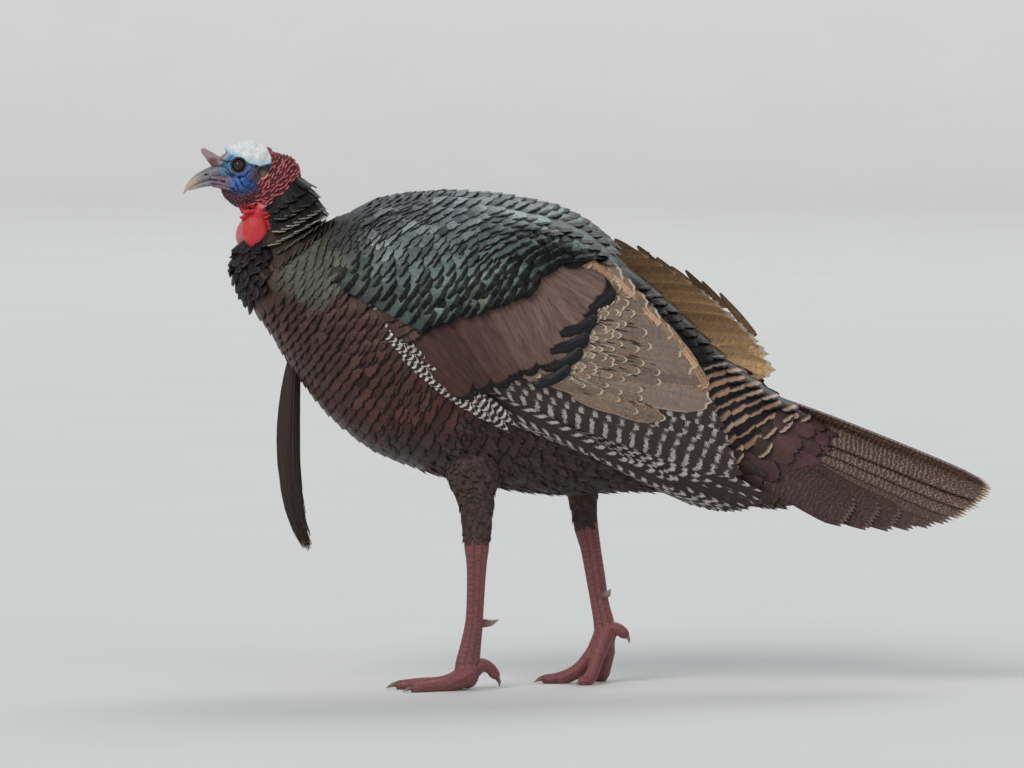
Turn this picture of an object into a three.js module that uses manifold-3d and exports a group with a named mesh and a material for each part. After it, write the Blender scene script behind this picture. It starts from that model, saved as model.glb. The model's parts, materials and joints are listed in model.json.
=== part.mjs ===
// A male wild turkey standing in mid-stride, life size, as a still display model.
// Millimetres, +Z up. The bird faces -X and its left side is -Y. The origin is at the middle
// of its bounding box, on the floor that its soles stand on.
// Every solid is a closed, faceted form that reaches the tips of the plumage.
import * as THREE from "three";
import { mergeVertices } from "three/addons/utils/BufferGeometryUtils.js";
import Module from "manifold-3d";

const wasm = await Module();
wasm.setup();

// ---------------------------------------------------------------- driving sizes
const GAP = 0.35; // clearance left between neighbouring solids
const WING_GAP = 0.7; // and between the layers of a wing, measured across the body
const SIDES = [
  { name: "left", sign: -1 },
  { name: "right", sign: 1 },
];

// Cross-sections of neck and trunk, from the head to the root of the tail:
// where each meets the back line, where it meets the belly line, and half its width.
const BODY = [
  { back: [-330, 590], belly: [-370, 547], half: 19 },
  { back: [-311, 567], belly: [-394, 512], half: 27 },
  { back: [-296, 538], belly: [-406, 483], half: 38 },
  { back: [-271, 549], belly: [-394, 449], half: 53 },
  { back: [-231, 563], belly: [-367, 412], half: 72 },
  { back: [-179, 570], belly: [-337, 366], half: 92 },
  { back: [-121, 570], belly: [-299, 316], half: 107 },
  { back: [-64, 562], belly: [-246, 273], half: 114 },
  { back: [-12, 546], belly: [-179, 247], half: 114 },
  { back: [30, 515], belly: [-108, 231], half: 107 },
  { back: [74, 469], belly: [-38, 222], half: 96 },
  { back: [122, 423], belly: [30, 225], half: 82 },
  { back: [168, 379], belly: [98, 224], half: 67 },
  { back: [209, 349], belly: [164, 213], half: 56 },
  { back: [240, 329], belly: [222, 206], half: 48 },
  { back: [268, 308], belly: [250, 216], half: 34 },
];
const NECK_END = 2.7 / (BODY.length - 1); // share of the body line where the neck meets the trunk
const TRUNK_END = 12.1 / (BODY.length - 1); // and where the trunk meets the tail coverts
const BODY_AROUND = 22;
const SECTION_FULLNESS = 0.86; // under 1 makes a section squarer than an ellipse
const PEAR = 0.12; // how much wider a section is below its middle than above

// The folded wing lies on a shield: its half-width, middle height and half-height by X.
const SHIELD = [
  { x: -270, half: 90, middle: 420, rise: 132 },
  { x: -180, half: 119, middle: 416, rise: 162 },
  { x: -85, half: 128, middle: 400, rise: 174 },
  { x: 10, half: 114, middle: 380, rise: 160 },
  { x: 105, half: 90, middle: 342, rise: 138 },
  { x: 200, half: 69, middle: 288, rise: 124 },
  { x: 295, half: 54, middle: 240, rise: 110 },
];
const UPPER_ROUND = 2.1; // exponent of the shield's curve above its middle
const LOWER_ROUND = 2.4; // and below it
const SHIELD_LIMIT = 0.985; // share of its half-height past which the shield goes straight in

// How each folded wing is held: shifted back and up, and swung up about its shoulder.
const SHOULDER = [-200, 430];
const WING_POSE = {
  left: { back: 0, up: 0, swing: 0 },
  right: { back: 44, up: 8, swing: 4.5 },
};
const LIFT_ROLL = 0.6; // share of a wing's rise that rolls it in over the back

const SECONDARIES = 6; // broad inner flight feathers of one wing
const SECONDARY_ROOTS = [[-40, 452], [-70, 400], [-105, 352]];
const SECONDARY_TIPS = [[40, 482], [92, 418], [135, 350], [162, 272]];
const PRIMARIES = 6; // narrow outer flight feathers of one wing
const PRIMARY_ROOTS = [[-120, 326], [-174, 352], [-226, 394]];
const PRIMARY_TIPS = [[205, 222], [184, 209], [158, 206], [128, 212]];

// Outline of the shoulder and wing coverts in side view, about their middle.
const COVERT_MIDDLE = [-100, 425];
const COVERT_OUTLINE = [
  [-241, 415], [-246, 448], [-214, 488], [-150, 506], [-70, 512], [0, 503],
  [28, 470], [24, 420], [-12, 366], [-68, 338], [-118, 322], [-168, 352], [-212, 385],
];
const COVERT_HEIGHT = 8; // how far they stand off the shield
const COVERT_DEPTH = 34; // how far they reach in behind it, to the trunk

const TAIL_FEATHERS = 7; // on each side
const TAIL_FEATHER_WIDTH = 52;
const TAIL_FEATHER_THICKNESS = 2.6;
const TAIL_LAYERS = 6; // how far the outermost feather lies under the middle one
const TAIL_ROOTS = [[146, 3, 349], [124, 26, 306]]; // of the middle and of the outermost feather
const TAIL_TIPS = [[463, 6, 224], [422, 40, 180], [298, 64, 204]]; // controls of a curve over them
const TAIL_ROLL = [38, 74]; // degrees that a feather's plane is turned down at the side

const EYE = [-398, 12, 600.5]; // the right one; the left one mirrors it
const EYE_RADIUS = 7.4;
const EAR = [-371, 17.5, 592.5];
const EAR_SIZE = [4.6, 2.4, 5.2];

// ---------------------------------------------------------------- finishes
const finish = (color, roughness) => new THREE.MeshStandardMaterial({ color, roughness, metalness: 0 });
const FINISH = {
  bronze: finish(0x4a3a32, 0.5),
  mantle: finish(0x4d5a56, 0.42),
  covert: finish(0x6b5548, 0.55),
  barred: finish(0x6f6960, 0.6),
  tail: finish(0x4b3429, 0.6),
  skin: finish(0x8a4a55, 0.6),
  wattle: finish(0xc81f22, 0.45),
  bill: finish(0x8d7f74, 0.4),
  leg: finish(0x8c3b3f, 0.6),
  claw: finish(0x2c2724, 0.4),
  eye: finish(0x150d08, 0.08),
  beard: finish(0x241a18, 0.7),
  thigh: finish(0x3f3a2e, 0.7),
};

// ---------------------------------------------------------------- solids
const vector = (x, y, z) => new THREE.Vector3(x, y, z);
const { lerp, clamp, smoothstep, degToRad } = THREE.MathUtils;

// A three.js geometry as a manifold-3d solid.
function toSolid(geometry) {
  const bare = geometry.clone();
  bare.deleteAttribute("normal");
  bare.deleteAttribute("uv");
  const merged = mergeVertices(bare, 1e-4);
  return new wasm.Manifold(
    new wasm.Mesh({
      numProp: 3,
      vertProperties: new Float32Array(merged.attributes.position.array),
      triVerts: new Uint32Array(merged.index.array),
    }),
  );
}

// A manifold-3d solid as a three.js geometry.
function toGeometry(solid) {
  const mesh = solid.getMesh();
  const geometry = new THREE.BufferGeometry();
  geometry.setAttribute("position", new THREE.BufferAttribute(new Float32Array(mesh.vertProperties), 3));
  geometry.setIndex(new THREE.BufferAttribute(new Uint32Array(mesh.triVerts), 1));
  return geometry;
}

// The largest single body of a solid, so that a cut leaves no crumbs.
function largest(solid) {
  return solid.decompose().reduce((best, piece) => (piece.volume() > best.volume() ? piece : best));
}

const join = (solids) => solids.reduce((whole, piece) => whole.add(piece));
const cut = (solid, ...tools) => largest(tools.reduce((rest, tool) => rest.subtract(tool), solid));

// Moves every vertex of a geometry to where place(point) puts it.
function reshape(geometry, place) {
  const position = geometry.attributes.position;
  for (let i = 0; i < position.count; i++) {
    position.setXYZ(i, ...place(new THREE.Vector3().fromBufferAttribute(position, i), i));
  }
  return geometry;
}

// A solid with its faces turned outwards, whichever side its geometry was built for.
function facingOut(geometry) {
  const solid = toSolid(geometry);
  if (solid.volume() > 0) return solid;
  const index = geometry.index.array;
  for (let i = 0; i < index.length; i += 3) {
    [index[i + 1], index[i + 2]] = [index[i + 2], index[i + 1]];
  }
  return toSolid(geometry);
}

// A solid swollen by a small amount, as a tool that leaves a gap round its neighbour.
function swollen(solid, amount = GAP) {
  const geometry = toGeometry(solid);
  geometry.computeVertexNormals();
  const normals = geometry.attributes.normal;
  const out = new THREE.Vector3();
  return toSolid(
    reshape(geometry, (point, i) => point.addScaledVector(out.fromBufferAttribute(normals, i), amount)),
  );
}

// A closed tube of changing section: surface(t, angle) gives its points, t from 0 to 1.
// It is a sphere whose rings next to the poles are the rims of the two flat end faces.
function loft(surface, around, along) {
  const sphere = new THREE.SphereGeometry(1, around, along);
  return facingOut(
    reshape(sphere, (_, i) => {
      const ring = Math.floor(i / (around + 1));
      const column = (i % (around + 1)) % around;
      const t = clamp((ring - 1) / (along - 2), 0, 1);
      const atPole = ring === 0 || ring === along;
      return atPole
        ? surface(t, 0).add(surface(t, Math.PI)).multiplyScalar(0.5)
        : surface(t, (column / around) * 2 * Math.PI);
    }),
  );
}

// A smooth curve through rows of up to three numbers; read with curve(t).
function through(rows) {
  const points = rows.map((row) => vector(row[0], row[1] ?? 0, row[2] ?? 0));
  const curve = new THREE.CatmullRomCurve3(points, false, "catmullrom", 0.5);
  return (t) => curve.getPoint(clamp(t, 0, 1));
}

// A limb: an elliptical tube along points, each [x, y, z, half depth, half breadth].
// Depth lies in the plane of the limb and X, breadth across it. No point goes under the floor.
// Steps is the number of rings from one point to the next. With extra the limb is larger all
// round, as a tool that leaves a gap.
function limb(points, { around = 8, steps = 2, extra = 0 } = {}) {
  const line = through(points);
  const size = through(points.map(([, , , depth, breadth]) => [depth, breadth]));
  const halfStep = Math.PI / around; // turns a face, not an edge, to the floor
  const surface = (t, angle) => {
    const along = line(t + 0.01).sub(line(t - 0.01)).normalize();
    const side = vector(0, 1, 0).addScaledVector(along, -along.y).normalize();
    const depth = side.clone().cross(along);
    const { x: deep, y: broad } = size(t);
    const overrun = t === 0 ? -extra : t === 1 ? extra : 0;
    const point = line(t)
      .addScaledVector(along, overrun)
      .addScaledVector(depth, (deep + extra) * Math.cos(angle + halfStep))
      .addScaledVector(side, (broad + extra) * Math.sin(angle + halfStep));
    point.z = Math.max(point.z, -extra);
    return point;
  };
  return loft(surface, around, (points.length - 1) * steps + 2);
}

// An ellipsoid at a centre, with its three half-axes, pitched about Y.
function ellipsoid(centre, halfAxes, pitch = 0, around = 10, rings = 7) {
  const ball = new THREE.SphereGeometry(1, around, rings);
  ball.scale(...halfAxes);
  ball.rotateY(pitch);
  ball.translate(...centre);
  return toSolid(ball);
}

const mirrored = ([x, y, z], sign) => [x, sign * y, z];
const larger = (sizes, amount = GAP) => sizes.map((size) => size + amount);

// ---------------------------------------------------------------- neck and trunk
const backLine = through(BODY.map(({ back }) => [back[0], 0, back[1]]));
const bellyLine = through(BODY.map(({ belly }) => [belly[0], 0, belly[1]]));
const girth = through(BODY.map(({ half }) => [half]));

// A point of the body at a share t of its line; angle runs from the back round to the belly.
function bodyPoint(t, angle, extra = 0) {
  const back = backLine(t);
  const down = bellyLine(t).sub(back);
  const reach = down.length();
  down.normalize();
  const fall = (1 - Math.cos(angle)) / 2;
  const bulge = Math.sign(Math.sin(angle)) * Math.abs(Math.sin(angle)) ** SECTION_FULLNESS;
  const point = back.addScaledVector(down, fall * (reach + 2 * extra) - extra);
  point.y = (girth(t).x + extra) * (1 + PEAR * (fall - 0.5)) * bulge;
  return point;
}

const bodyLoft = (start, end, rings, extra = 0) =>
  loft((t, angle) => bodyPoint(lerp(start, end, t), angle, extra), BODY_AROUND, rings);

const BODY_LINE_LENGTH = 900;
const seam = GAP / BODY_LINE_LENGTH;
const NECK = [0, NECK_END, 7]; // start, end and rings of each length of the body
const TRUNK = [NECK_END, TRUNK_END, 15];
const TAIL_COVERTS = [TRUNK_END, 1, 5];
const lengthOfBody = ([start, end, rings]) => bodyLoft(start + seam, end - seam, rings);
const neckTool = bodyLoft(...NECK, GAP);
const bodyTool = join([neckTool, bodyLoft(...TRUNK, GAP), bodyLoft(...TAIL_COVERTS, GAP)]);

// ---------------------------------------------------------------- wings
const shieldSize = through(SHIELD.map(({ half, middle, rise }) => [half, middle, rise]));

// How far from the middle plane the folded wing lies at a place in side view.
function shieldHalf(x, z) {
  const first = SHIELD[0].x;
  const last = SHIELD[SHIELD.length - 1].x;
  const { x: half, y: middle, z: rise } = shieldSize((x - first) / (last - first));
  const share = Math.min(Math.abs(z - middle) / rise, SHIELD_LIMIT);
  const power = z > middle ? UPPER_ROUND : LOWER_ROUND;
  return half * (1 - share ** power) ** (1 / power);
}

// Puts a side-view place on one wing's shield, standing off it by a distance.
function onWing(side, x, z, off) {
  const { back, up, swing } = WING_POSE[side.name];
  const held = new THREE.Vector2(x - SHOULDER[0], z - SHOULDER[1]);
  held.rotateAround(new THREE.Vector2(), degToRad(swing));
  held.add(new THREE.Vector2(SHOULDER[0] + back, SHOULDER[1] + up));
  return vector(held.x, side.sign * (shieldHalf(held.x, lerp(z, held.y, LIFT_ROLL)) + off), held.y);
}

// A flight feather as a thin blade on the shield, from root to tip in side view.
// Its inner face bulges in to the trunk near the root, where muscle and down fill the wing.
// The same blade larger by extra all round is the tool that clears its neighbours from it.
function blade(side, { root, tip, width, off, thick, bulk, point }, extra) {
  const TAPER_START = 0.72;
  const CROWD = 0.8; // crowds the rings towards the tip, one of them near where the taper starts
  const BULK_END = 0.8;
  const lengthwise = new THREE.Vector2(tip.x - root.x, tip.y - root.y);
  const crosswise = new THREE.Vector2(-lengthwise.y, lengthwise.x).normalize();
  const overrun = extra / lengthwise.length();
  const place = (p) => {
    const t = (p.x + 0.5) ** CROWD;
    const taper =
      t < TAPER_START
        ? lerp(0.8, 1, smoothstep(t, 0, 0.5))
        : lerp(1, point, ((t - TAPER_START) / (1 - TAPER_START)) ** 2);
    const across = p.z * (width * taper + 2 * extra);
    const along = t + 2 * p.x * overrun;
    const x = root.x + lengthwise.x * along + crosswise.x * across;
    const z = root.y + lengthwise.y * along + crosswise.y * across;
    const inward = -bulk * Math.max(0, 1 - t / BULK_END) - extra;
    return onWing(side, x, z, lerp(off[0], off[1], t) + (p.y > 0 ? thick + extra : inward));
  };
  return facingOut(reshape(new THREE.BoxGeometry(1, 1, 1, 3, 1, 1), place));
}

// A fan of blades whose roots and tips lie on two curves.
function fan(side, count, roots, tips, feather, extra) {
  const rootAt = through(roots);
  const tipAt = through(tips);
  const shares = Array.from({ length: count }, (_, k) => k / (count - 1));
  const bladeAt = (share) =>
    blade(side, { root: rootAt(share), tip: tipAt(share), ...feather(share) }, extra);
  return join(shares.map(bladeAt));
}

// Inner flight feathers: the innermost one lies on top.
const secondaryFeather = (share) => ({
  width: lerp(48, 62, share),
  off: [4.5 - 3 * share, 7 - 4 * share],
  thick: 2.4,
  bulk: 40,
  point: 0.5,
});
const secondaries = (side, extra = 0) =>
  fan(side, SECONDARIES, SECONDARY_ROOTS, SECONDARY_TIPS, secondaryFeather, extra);

// Outer flight feathers: long, narrow, and tucked under the inner ones.
const primaryFeather = (share) => ({
  width: 34,
  off: [-2 - 1.5 * share, -2 - 2 * share],
  thick: 2.2,
  bulk: 34,
  point: 0.4,
});
const primaries = (side, extra = 0) =>
  fan(side, PRIMARIES, PRIMARY_ROOTS, PRIMARY_TIPS, primaryFeather, extra);

// Shoulder and coverts: one domed pad with a rounded outline.
function coverts(side) {
  const around = 22;
  const rings = 7;
  const outline = new THREE.CatmullRomCurve3(
    COVERT_OUTLINE.map(([x, z]) => vector(x - COVERT_MIDDLE[0], 0, z - COVERT_MIDDLE[1])),
    true,
  );
  const place = (_, i) => {
    const latitude = (Math.floor(i / (around + 1)) / rings) * Math.PI; // 0 at the outer pole
    const rim = outline.getPoint(((i % (around + 1)) % around) / around);
    rim.multiplyScalar(Math.sin(latitude));
    const off = Math.cos(latitude) * (latitude < Math.PI / 2 ? COVERT_HEIGHT : COVERT_DEPTH);
    return onWing(side, COVERT_MIDDLE[0] + rim.x, COVERT_MIDDLE[1] + rim.z, off);
  };
  return facingOut(reshape(new THREE.SphereGeometry(1, around, rings), place));
}

// ---------------------------------------------------------------- tail
const tailTips = new THREE.QuadraticBezierCurve3(...TAIL_TIPS.map((place) => vector(...place)));

// One tail feather, a flat blade; share 0 is the middle one and 1 the outermost.
function tailFeather(sign, share) {
  const TAPER_START = 0.85;
  const root = vector(...TAIL_ROOTS[0]).lerp(vector(...TAIL_ROOTS[1]), share);
  const along = tailTips.getPoint(share).sub(root);
  const reach = along.length();
  along.normalize();
  const level = vector(0, 1, 0).addScaledVector(along, -along.y).normalize();
  const upright = along.clone().cross(level);
  const roll = degToRad(lerp(...TAIL_ROLL, share));
  const across = level.multiplyScalar(Math.cos(roll)).addScaledVector(upright, -Math.sin(roll));
  const outward = along.clone().cross(across).normalize();
  const place = (p) => {
    const t = p.x < 0 ? 0 : lerp(TAPER_START, 1, 2 * p.x); // one ring at each end of the taper
    const taper = t === 0 ? 0.55 : lerp(1, 0.6, 2 * p.x);
    const point = root
      .clone()
      .addScaledVector(along, reach * t)
      .addScaledVector(across, p.z * TAIL_FEATHER_WIDTH * taper)
      .addScaledVector(outward, p.y * TAIL_FEATHER_THICKNESS - share * TAIL_LAYERS);
    point.y *= sign;
    return point;
  };
  return facingOut(reshape(new THREE.BoxGeometry(1, 1, 1, 2, 1, 1), place));
}

function tailSolid() {
  const feathers = SIDES.flatMap(({ sign }) =>
    Array.from({ length: TAIL_FEATHERS }, (_, k) => tailFeather(sign, k / (TAIL_FEATHERS - 1))),
  );
  const ridge = limb([[150, 0, 346, 8, 16], [300, 0, 287, 4, 12], [440, 0, 233, 2, 6]], { steps: 1 });
  return join([...feathers, ridge]);
}

// ---------------------------------------------------------------- head
const headSolid = join([
  ellipsoid([-385, 0, 600], [32, 18, 27.5], 0.1, 12, 7),
  ellipsoid([-411, 0, 590], [20, 12, 14.5], -0.2, 8, 6),
  ellipsoid([-392, 0, 569], [29, 14, 20], 0.35, 9, 6),
  ellipsoid([-356, 0, 583], [27, 18, 33], 0.6, 9, 7),
]);

const CURVED = { around: 8, steps: 1 };
const upperBill = limb([
  [-418, 0, 591, 11, 10], [-436, 0, 588, 8, 8], [-450, 0, 583, 6, 5.5],
  [-459, 0, 576, 4, 3.5], [-463, 0, 567, 0.9, 0.8],
], CURVED);
const lowerBill = limb(
  [[-416, 0, 577, 4.5, 9], [-432, 0, 574, 4, 7.5], [-446, 0, 573, 3, 5], [-456, 0, 573, 1, 1.6]],
  CURVED,
);
const snood = limb(
  [[-420, 0, 603, 8, 7], [-429, 0, 610, 6, 5.5], [-437, 0, 616, 4, 4], [-443, 0, 619, 1.6, 1.6]],
  CURVED,
);
const WATTLES = {
  left: { centre: [-379, -11, 524.5], halfAxes: [15, 10, 19] },
  right: { centre: [-387.5, 11, 519.5], halfAxes: [14, 10, 17] },
};

// ---------------------------------------------------------------- beard
const beard = limb([
  [-332, 0, 384, 7, 6], [-341, 0, 352, 8, 7], [-346, 0, 306, 12, 8],
  [-347, 0, 268, 12.5, 8], [-341, 0, 232, 10, 7], [-332, 0, 198, 6, 4.5], [-322, 0, 163, 0.8, 0.8],
], CURVED);

// ---------------------------------------------------------------- legs
// Each leg is a feathered thigh, a scaled shank and a foot whose toes stand on the floor.
const LEGS = {
  left: {
    thigh: [
      [-118, -46, 290, 44, 34], [-128, -52, 250, 33, 26], [-126, -54, 222, 21, 17],
      [-125, -54, 200, 18, 14], [-125, -53, 181, 15, 12],
    ],
    shank: [
      [-125, -53, 182, 14.5, 11], [-125, -53, 168, 14, 10], [-125, -53, 148, 11.5, 8],
      [-126, -52, 115, 10, 7], [-128, -51, 78, 9.8, 7], [-132, -50, 50, 11.5, 8.5],
      [-136, -50, 26, 13.5, 12], [-136, -50, 10, 12, 12],
    ],
    toes: {
      middle: {
        line: [
          [-134, -50, 18, 12, 11], [-160, -49, 7.4, 9, 9], [-190, -47, 5.6, 7, 8], [-213, -46, 4.4, 5.5, 6],
        ],
        claw: [[-213, -46, 6.5, 4, 3.6], [-222, -45.5, 4.5, 2.6, 2.4], [-229, -45, 1.5, 0.8, 0.8]],
      },
      outer: {
        line: [
          [-134, -54, 18, 12, 11], [-158, -66, 7, 8.5, 8.5], [-180, -78, 5.2, 6.5, 7], [-196, -87, 4, 5, 5.5],
        ],
        claw: [[-196, -87, 6, 3.6, 3.2], [-203, -91, 4, 2.4, 2.2], [-209, -94, 1.4, 0.8, 0.8]],
      },
      inner: {
        line: [
          [-134, -46, 18, 12, 11], [-154, -33, 7, 8.5, 8.5], [-171, -22, 5.2, 6.5, 7], [-184, -13, 4, 5, 5.5],
        ],
        claw: [[-184, -13, 6, 3.6, 3.2], [-191, -8.5, 4, 2.4, 2.2], [-197, -5, 1.4, 0.8, 0.8]],
      },
      hind: {
        line: [
          [-134, -50, 20, 11, 10], [-120, -44, 28, 7, 7],
          [-110, -40, 24, 5.6, 5.6], [-103, -36, 15, 4.8, 4.8],
        ],
        claw: [[-103.5, -36, 16, 3.4, 3.2], [-99, -34, 8, 2.4, 2.2], [-99, -33, 2.2, 0.8, 0.8]],
      },
    },
    spur: [[-122, -46, 76, 6, 5], [-109, -40, 76, 3.6, 3.4], [-100, -37, 79.5, 0.8, 0.8]],
  },
  right: {
    thigh: [
      [12, 46, 292, 40, 34], [-2, 52, 256, 30, 26], [-5, 54, 230, 20, 17],
      [-2, 54, 210, 15.5, 13], [-1, 53, 192, 12.5, 11],
    ],
    shank: [
      [-1, 53, 194, 13.5, 11], [1, 53, 182, 13.5, 10], [6, 52, 158, 11.5, 8], [12, 50, 123, 10.8, 7],
      [17, 48, 92, 10.2, 7], [22, 46, 68, 11.5, 8.5], [23, 45, 52, 12, 11],
    ],
    toes: {
      middle: {
        line: [
          [20, 45, 56, 10, 10], [10, 43, 36, 8.5, 9], [-8, 41, 15, 7.5, 8.5],
          [-29, 39, 5.4, 7, 7.5], [-45, 38, 4.4, 5.5, 6],
        ],
        claw: [[-45, 38, 6.5, 4, 3.6], [-53, 37.5, 4.5, 2.6, 2.4], [-59, 37, 1.5, 0.8, 0.8]],
      },
      inner: {
        line: [
          [23, 40, 54, 9, 9], [15, 31, 33, 7.5, 7.5], [8, 23, 13, 6.5, 7],
          [2, 18, 4.6, 6, 6.4], [-3, 14, 4.2, 5.2, 6],
        ],
        claw: [[-2, 15, 6, 3.6, 3.2], [-7, 11, 4, 2.4, 2.2], [-11, 8, 1.4, 0.8, 0.8]],
      },
      outer: {
        line: [
          [25, 49, 52, 9, 9], [26, 58, 33, 7.5, 7.5], [22, 65, 13, 6.5, 7],
          [18, 70, 4.4, 6, 6.4], [14, 74, 4, 5.2, 6],
        ],
        claw: [[15, 73, 6, 3.6, 3.2], [11, 78, 4, 2.4, 2.2], [7, 82, 1.4, 0.8, 0.8]],
      },
      hind: {
        line: [[23, 45, 54, 10, 10], [32, 41, 63, 7, 7], [40, 37, 62, 5.6, 5.6], [46, 35, 57, 4.8, 4.8]],
        claw: [[45.5, 35, 58.5, 3.4, 3.2], [50, 33, 53, 2.4, 2.2], [51, 32, 47, 0.8, 0.8]],
      },
    },
    spur: [[20, 45, 102, 6, 5], [26, 35, 104, 3.6, 3.4], [29, 28, 110, 0.8, 0.8]],
  },
};

// ---------------------------------------------------------------- assembly
const turkey = new THREE.Group();
turkey.name = "wild_turkey";

function addNode(name, solid, material) {
  const mesh = new THREE.Mesh(toGeometry(solid), material);
  mesh.name = name;
  turkey.add(mesh);
}

function addHead() {
  const headTool = swollen(headSolid);
  const upperTool = swollen(upperBill);
  const leftWattleTool = ellipsoid(WATTLES.left.centre, larger(WATTLES.left.halfAxes));
  const sockets = SIDES.flatMap(({ sign }) => [
    ellipsoid(mirrored(EYE, sign), Array(3).fill(EYE_RADIUS + GAP)),
    ellipsoid(mirrored(EAR, sign), larger(EAR_SIZE), 0, 6, 5),
  ]);
  addNode("head", cut(headSolid, ...sockets), FINISH.skin);
  addNode("neck", cut(lengthOfBody(NECK), headTool), FINISH.bronze);
  addNode("snood", cut(snood, headTool, upperTool), FINISH.skin);
  addNode("bill_upper", cut(upperBill, headTool), FINISH.bill);
  addNode("bill_lower", cut(lowerBill, headTool, upperTool), FINISH.bill);
  for (const { name, sign } of SIDES) {
    const { centre, halfAxes } = WATTLES[name];
    const other = name === "right" ? [leftWattleTool] : [];
    addNode(`eye_${name}`, ellipsoid(mirrored(EYE, sign), Array(3).fill(EYE_RADIUS)), FINISH.eye);
    addNode(`ear_${name}`, ellipsoid(mirrored(EAR, sign), EAR_SIZE, 0, 6, 5), FINISH.covert);
    addNode(`wattle_${name}`, cut(ellipsoid(centre, halfAxes), headTool, neckTool, ...other), FINISH.wattle);
  }
}

// Coverts lie on top, secondaries under them, and primaries under those.
function addWing(side) {
  const padTool = swollen(coverts(side), WING_GAP);
  const pad = cut(coverts(side), bodyTool);
  const inner = cut(secondaries(side), bodyTool, padTool);
  const outer = cut(primaries(side), bodyTool, padTool, secondaries(side, WING_GAP));
  addNode(`wing_${side.name}`, pad, FINISH.covert);
  addNode(`secondaries_${side.name}`, inner, FINISH.barred);
  addNode(`primaries_${side.name}`, outer, FINISH.barred);
}

function addLeg({ name }) {
  const leg = LEGS[name];
  const toes = Object.entries(leg.toes);
  const plain = { around: 10, steps: 1 }; // of the thigh
  const slim = { around: 6, steps: 1 }; // of the shank and toes
  const horn = { around: 5, steps: 1 }; // of claws and spurs
  const tool = (points, shape) => limb(points, { ...shape, extra: GAP });
  const foot = join(toes.map(([, { line }]) => limb(line, slim)));
  const footTool = join(toes.map(([, { line }]) => tool(line, slim)));
  const clawTools = toes.map(([, { claw }]) => tool(claw, horn));
  const shank = cut(limb(leg.shank, slim), tool(leg.thigh, plain), footTool, tool(leg.spur, horn));
  addNode(`thigh_${name}`, cut(limb(leg.thigh, plain), bodyTool), FINISH.thigh);
  addNode(`shank_${name}`, shank, FINISH.leg);
  addNode(`foot_${name}`, cut(foot, ...clawTools), FINISH.leg);
  addNode(`spur_${name}`, limb(leg.spur, horn), FINISH.claw);
  toes.forEach(([toe, { claw }]) => addNode(`claw_${name}_${toe}`, limb(claw, horn), FINISH.claw));
}

addHead();
addNode("trunk", lengthOfBody(TRUNK), FINISH.bronze);
addNode("beard", cut(beard, bodyTool), FINISH.beard);
SIDES.forEach(addWing);
addNode("tail_coverts", lengthOfBody(TAIL_COVERTS), FINISH.mantle);
addNode("tail", cut(tailSolid(), bodyTool), FINISH.tail);
SIDES.forEach(addLeg);

// The origin goes to the middle of the bounding box, at floor level.
const middle = new THREE.Box3().setFromObject(turkey).getCenter(new THREE.Vector3());
turkey.position.set(-middle.x, -middle.y, 0);

export default turkey;
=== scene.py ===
"""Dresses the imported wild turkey: one bare skin under a full coat of feathers, with eyes, bill, claws,
spurs and beard. Shapes are worked out in millimetres in the drawing's own place, then put in the frame."""
import json
from math import cos, pi, radians, sin

import bpy
import numpy as np
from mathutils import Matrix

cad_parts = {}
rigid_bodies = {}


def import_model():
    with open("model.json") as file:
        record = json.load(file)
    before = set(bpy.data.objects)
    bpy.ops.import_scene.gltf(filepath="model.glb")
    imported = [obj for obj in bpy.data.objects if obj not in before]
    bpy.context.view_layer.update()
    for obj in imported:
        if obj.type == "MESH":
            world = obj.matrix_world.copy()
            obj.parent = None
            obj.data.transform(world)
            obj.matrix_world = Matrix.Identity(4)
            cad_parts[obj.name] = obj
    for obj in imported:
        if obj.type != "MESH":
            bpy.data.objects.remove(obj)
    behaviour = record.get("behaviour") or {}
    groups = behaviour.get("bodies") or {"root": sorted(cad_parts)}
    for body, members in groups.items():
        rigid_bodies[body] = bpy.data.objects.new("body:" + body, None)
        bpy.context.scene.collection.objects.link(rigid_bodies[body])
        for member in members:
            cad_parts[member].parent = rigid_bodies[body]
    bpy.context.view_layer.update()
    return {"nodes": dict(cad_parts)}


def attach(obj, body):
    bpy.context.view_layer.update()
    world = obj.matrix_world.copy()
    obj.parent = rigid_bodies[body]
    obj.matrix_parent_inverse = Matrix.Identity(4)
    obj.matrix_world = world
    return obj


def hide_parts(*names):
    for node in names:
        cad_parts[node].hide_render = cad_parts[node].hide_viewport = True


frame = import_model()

import openvdb
from bpy.props import FloatProperty, FloatVectorProperty, IntProperty, PointerProperty
from mathutils import Vector

bl_info = {
    "name": "Wild Turkey",
    "version": (1, 0, 0),
    "blender": (4, 5, 0),
    "location": "3D View > Sidebar > Turkey",
    "description": "Builds the skin, plumage and stage of a life-size wild turkey round its packed solids",
    "category": "Object",
}

MM = 0.001
SHIFT = np.array([-1.6149, 0.0016, 0.0])  # from the drawing's origin to the frame's, in millimetres
SIDES = {"left": -1.0, "right": 1.0}

# ------------------------------------------------------------------ the drawing's own sizes
# Sections of neck and trunk: where each meets the back and the belly in side view, and its half-width.
BACK = [(-330, 590), (-311, 567), (-296, 538), (-271, 549), (-231, 563), (-179, 570), (-121, 570), (-64, 562),
        (-12, 546), (30, 515), (74, 469), (122, 423), (168, 379), (209, 349), (240, 329), (268, 308)]
BELLY = [(-370, 547), (-394, 512), (-406, 483), (-394, 449), (-367, 412), (-337, 366), (-299, 316), (-246, 273),
         (-179, 247), (-108, 231), (-38, 222), (30, 225), (98, 224), (164, 213), (222, 206), (250, 216)]
GIRTH = [(19,), (27,), (38,), (53,), (72,), (92,), (107,), (114,), (114,), (107,), (96,), (82,), (67,), (56,),
         (48,), (34,)]
LAST = len(BACK) - 1
SECTION_FULLNESS = 0.86
PEAR = 0.12
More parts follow.
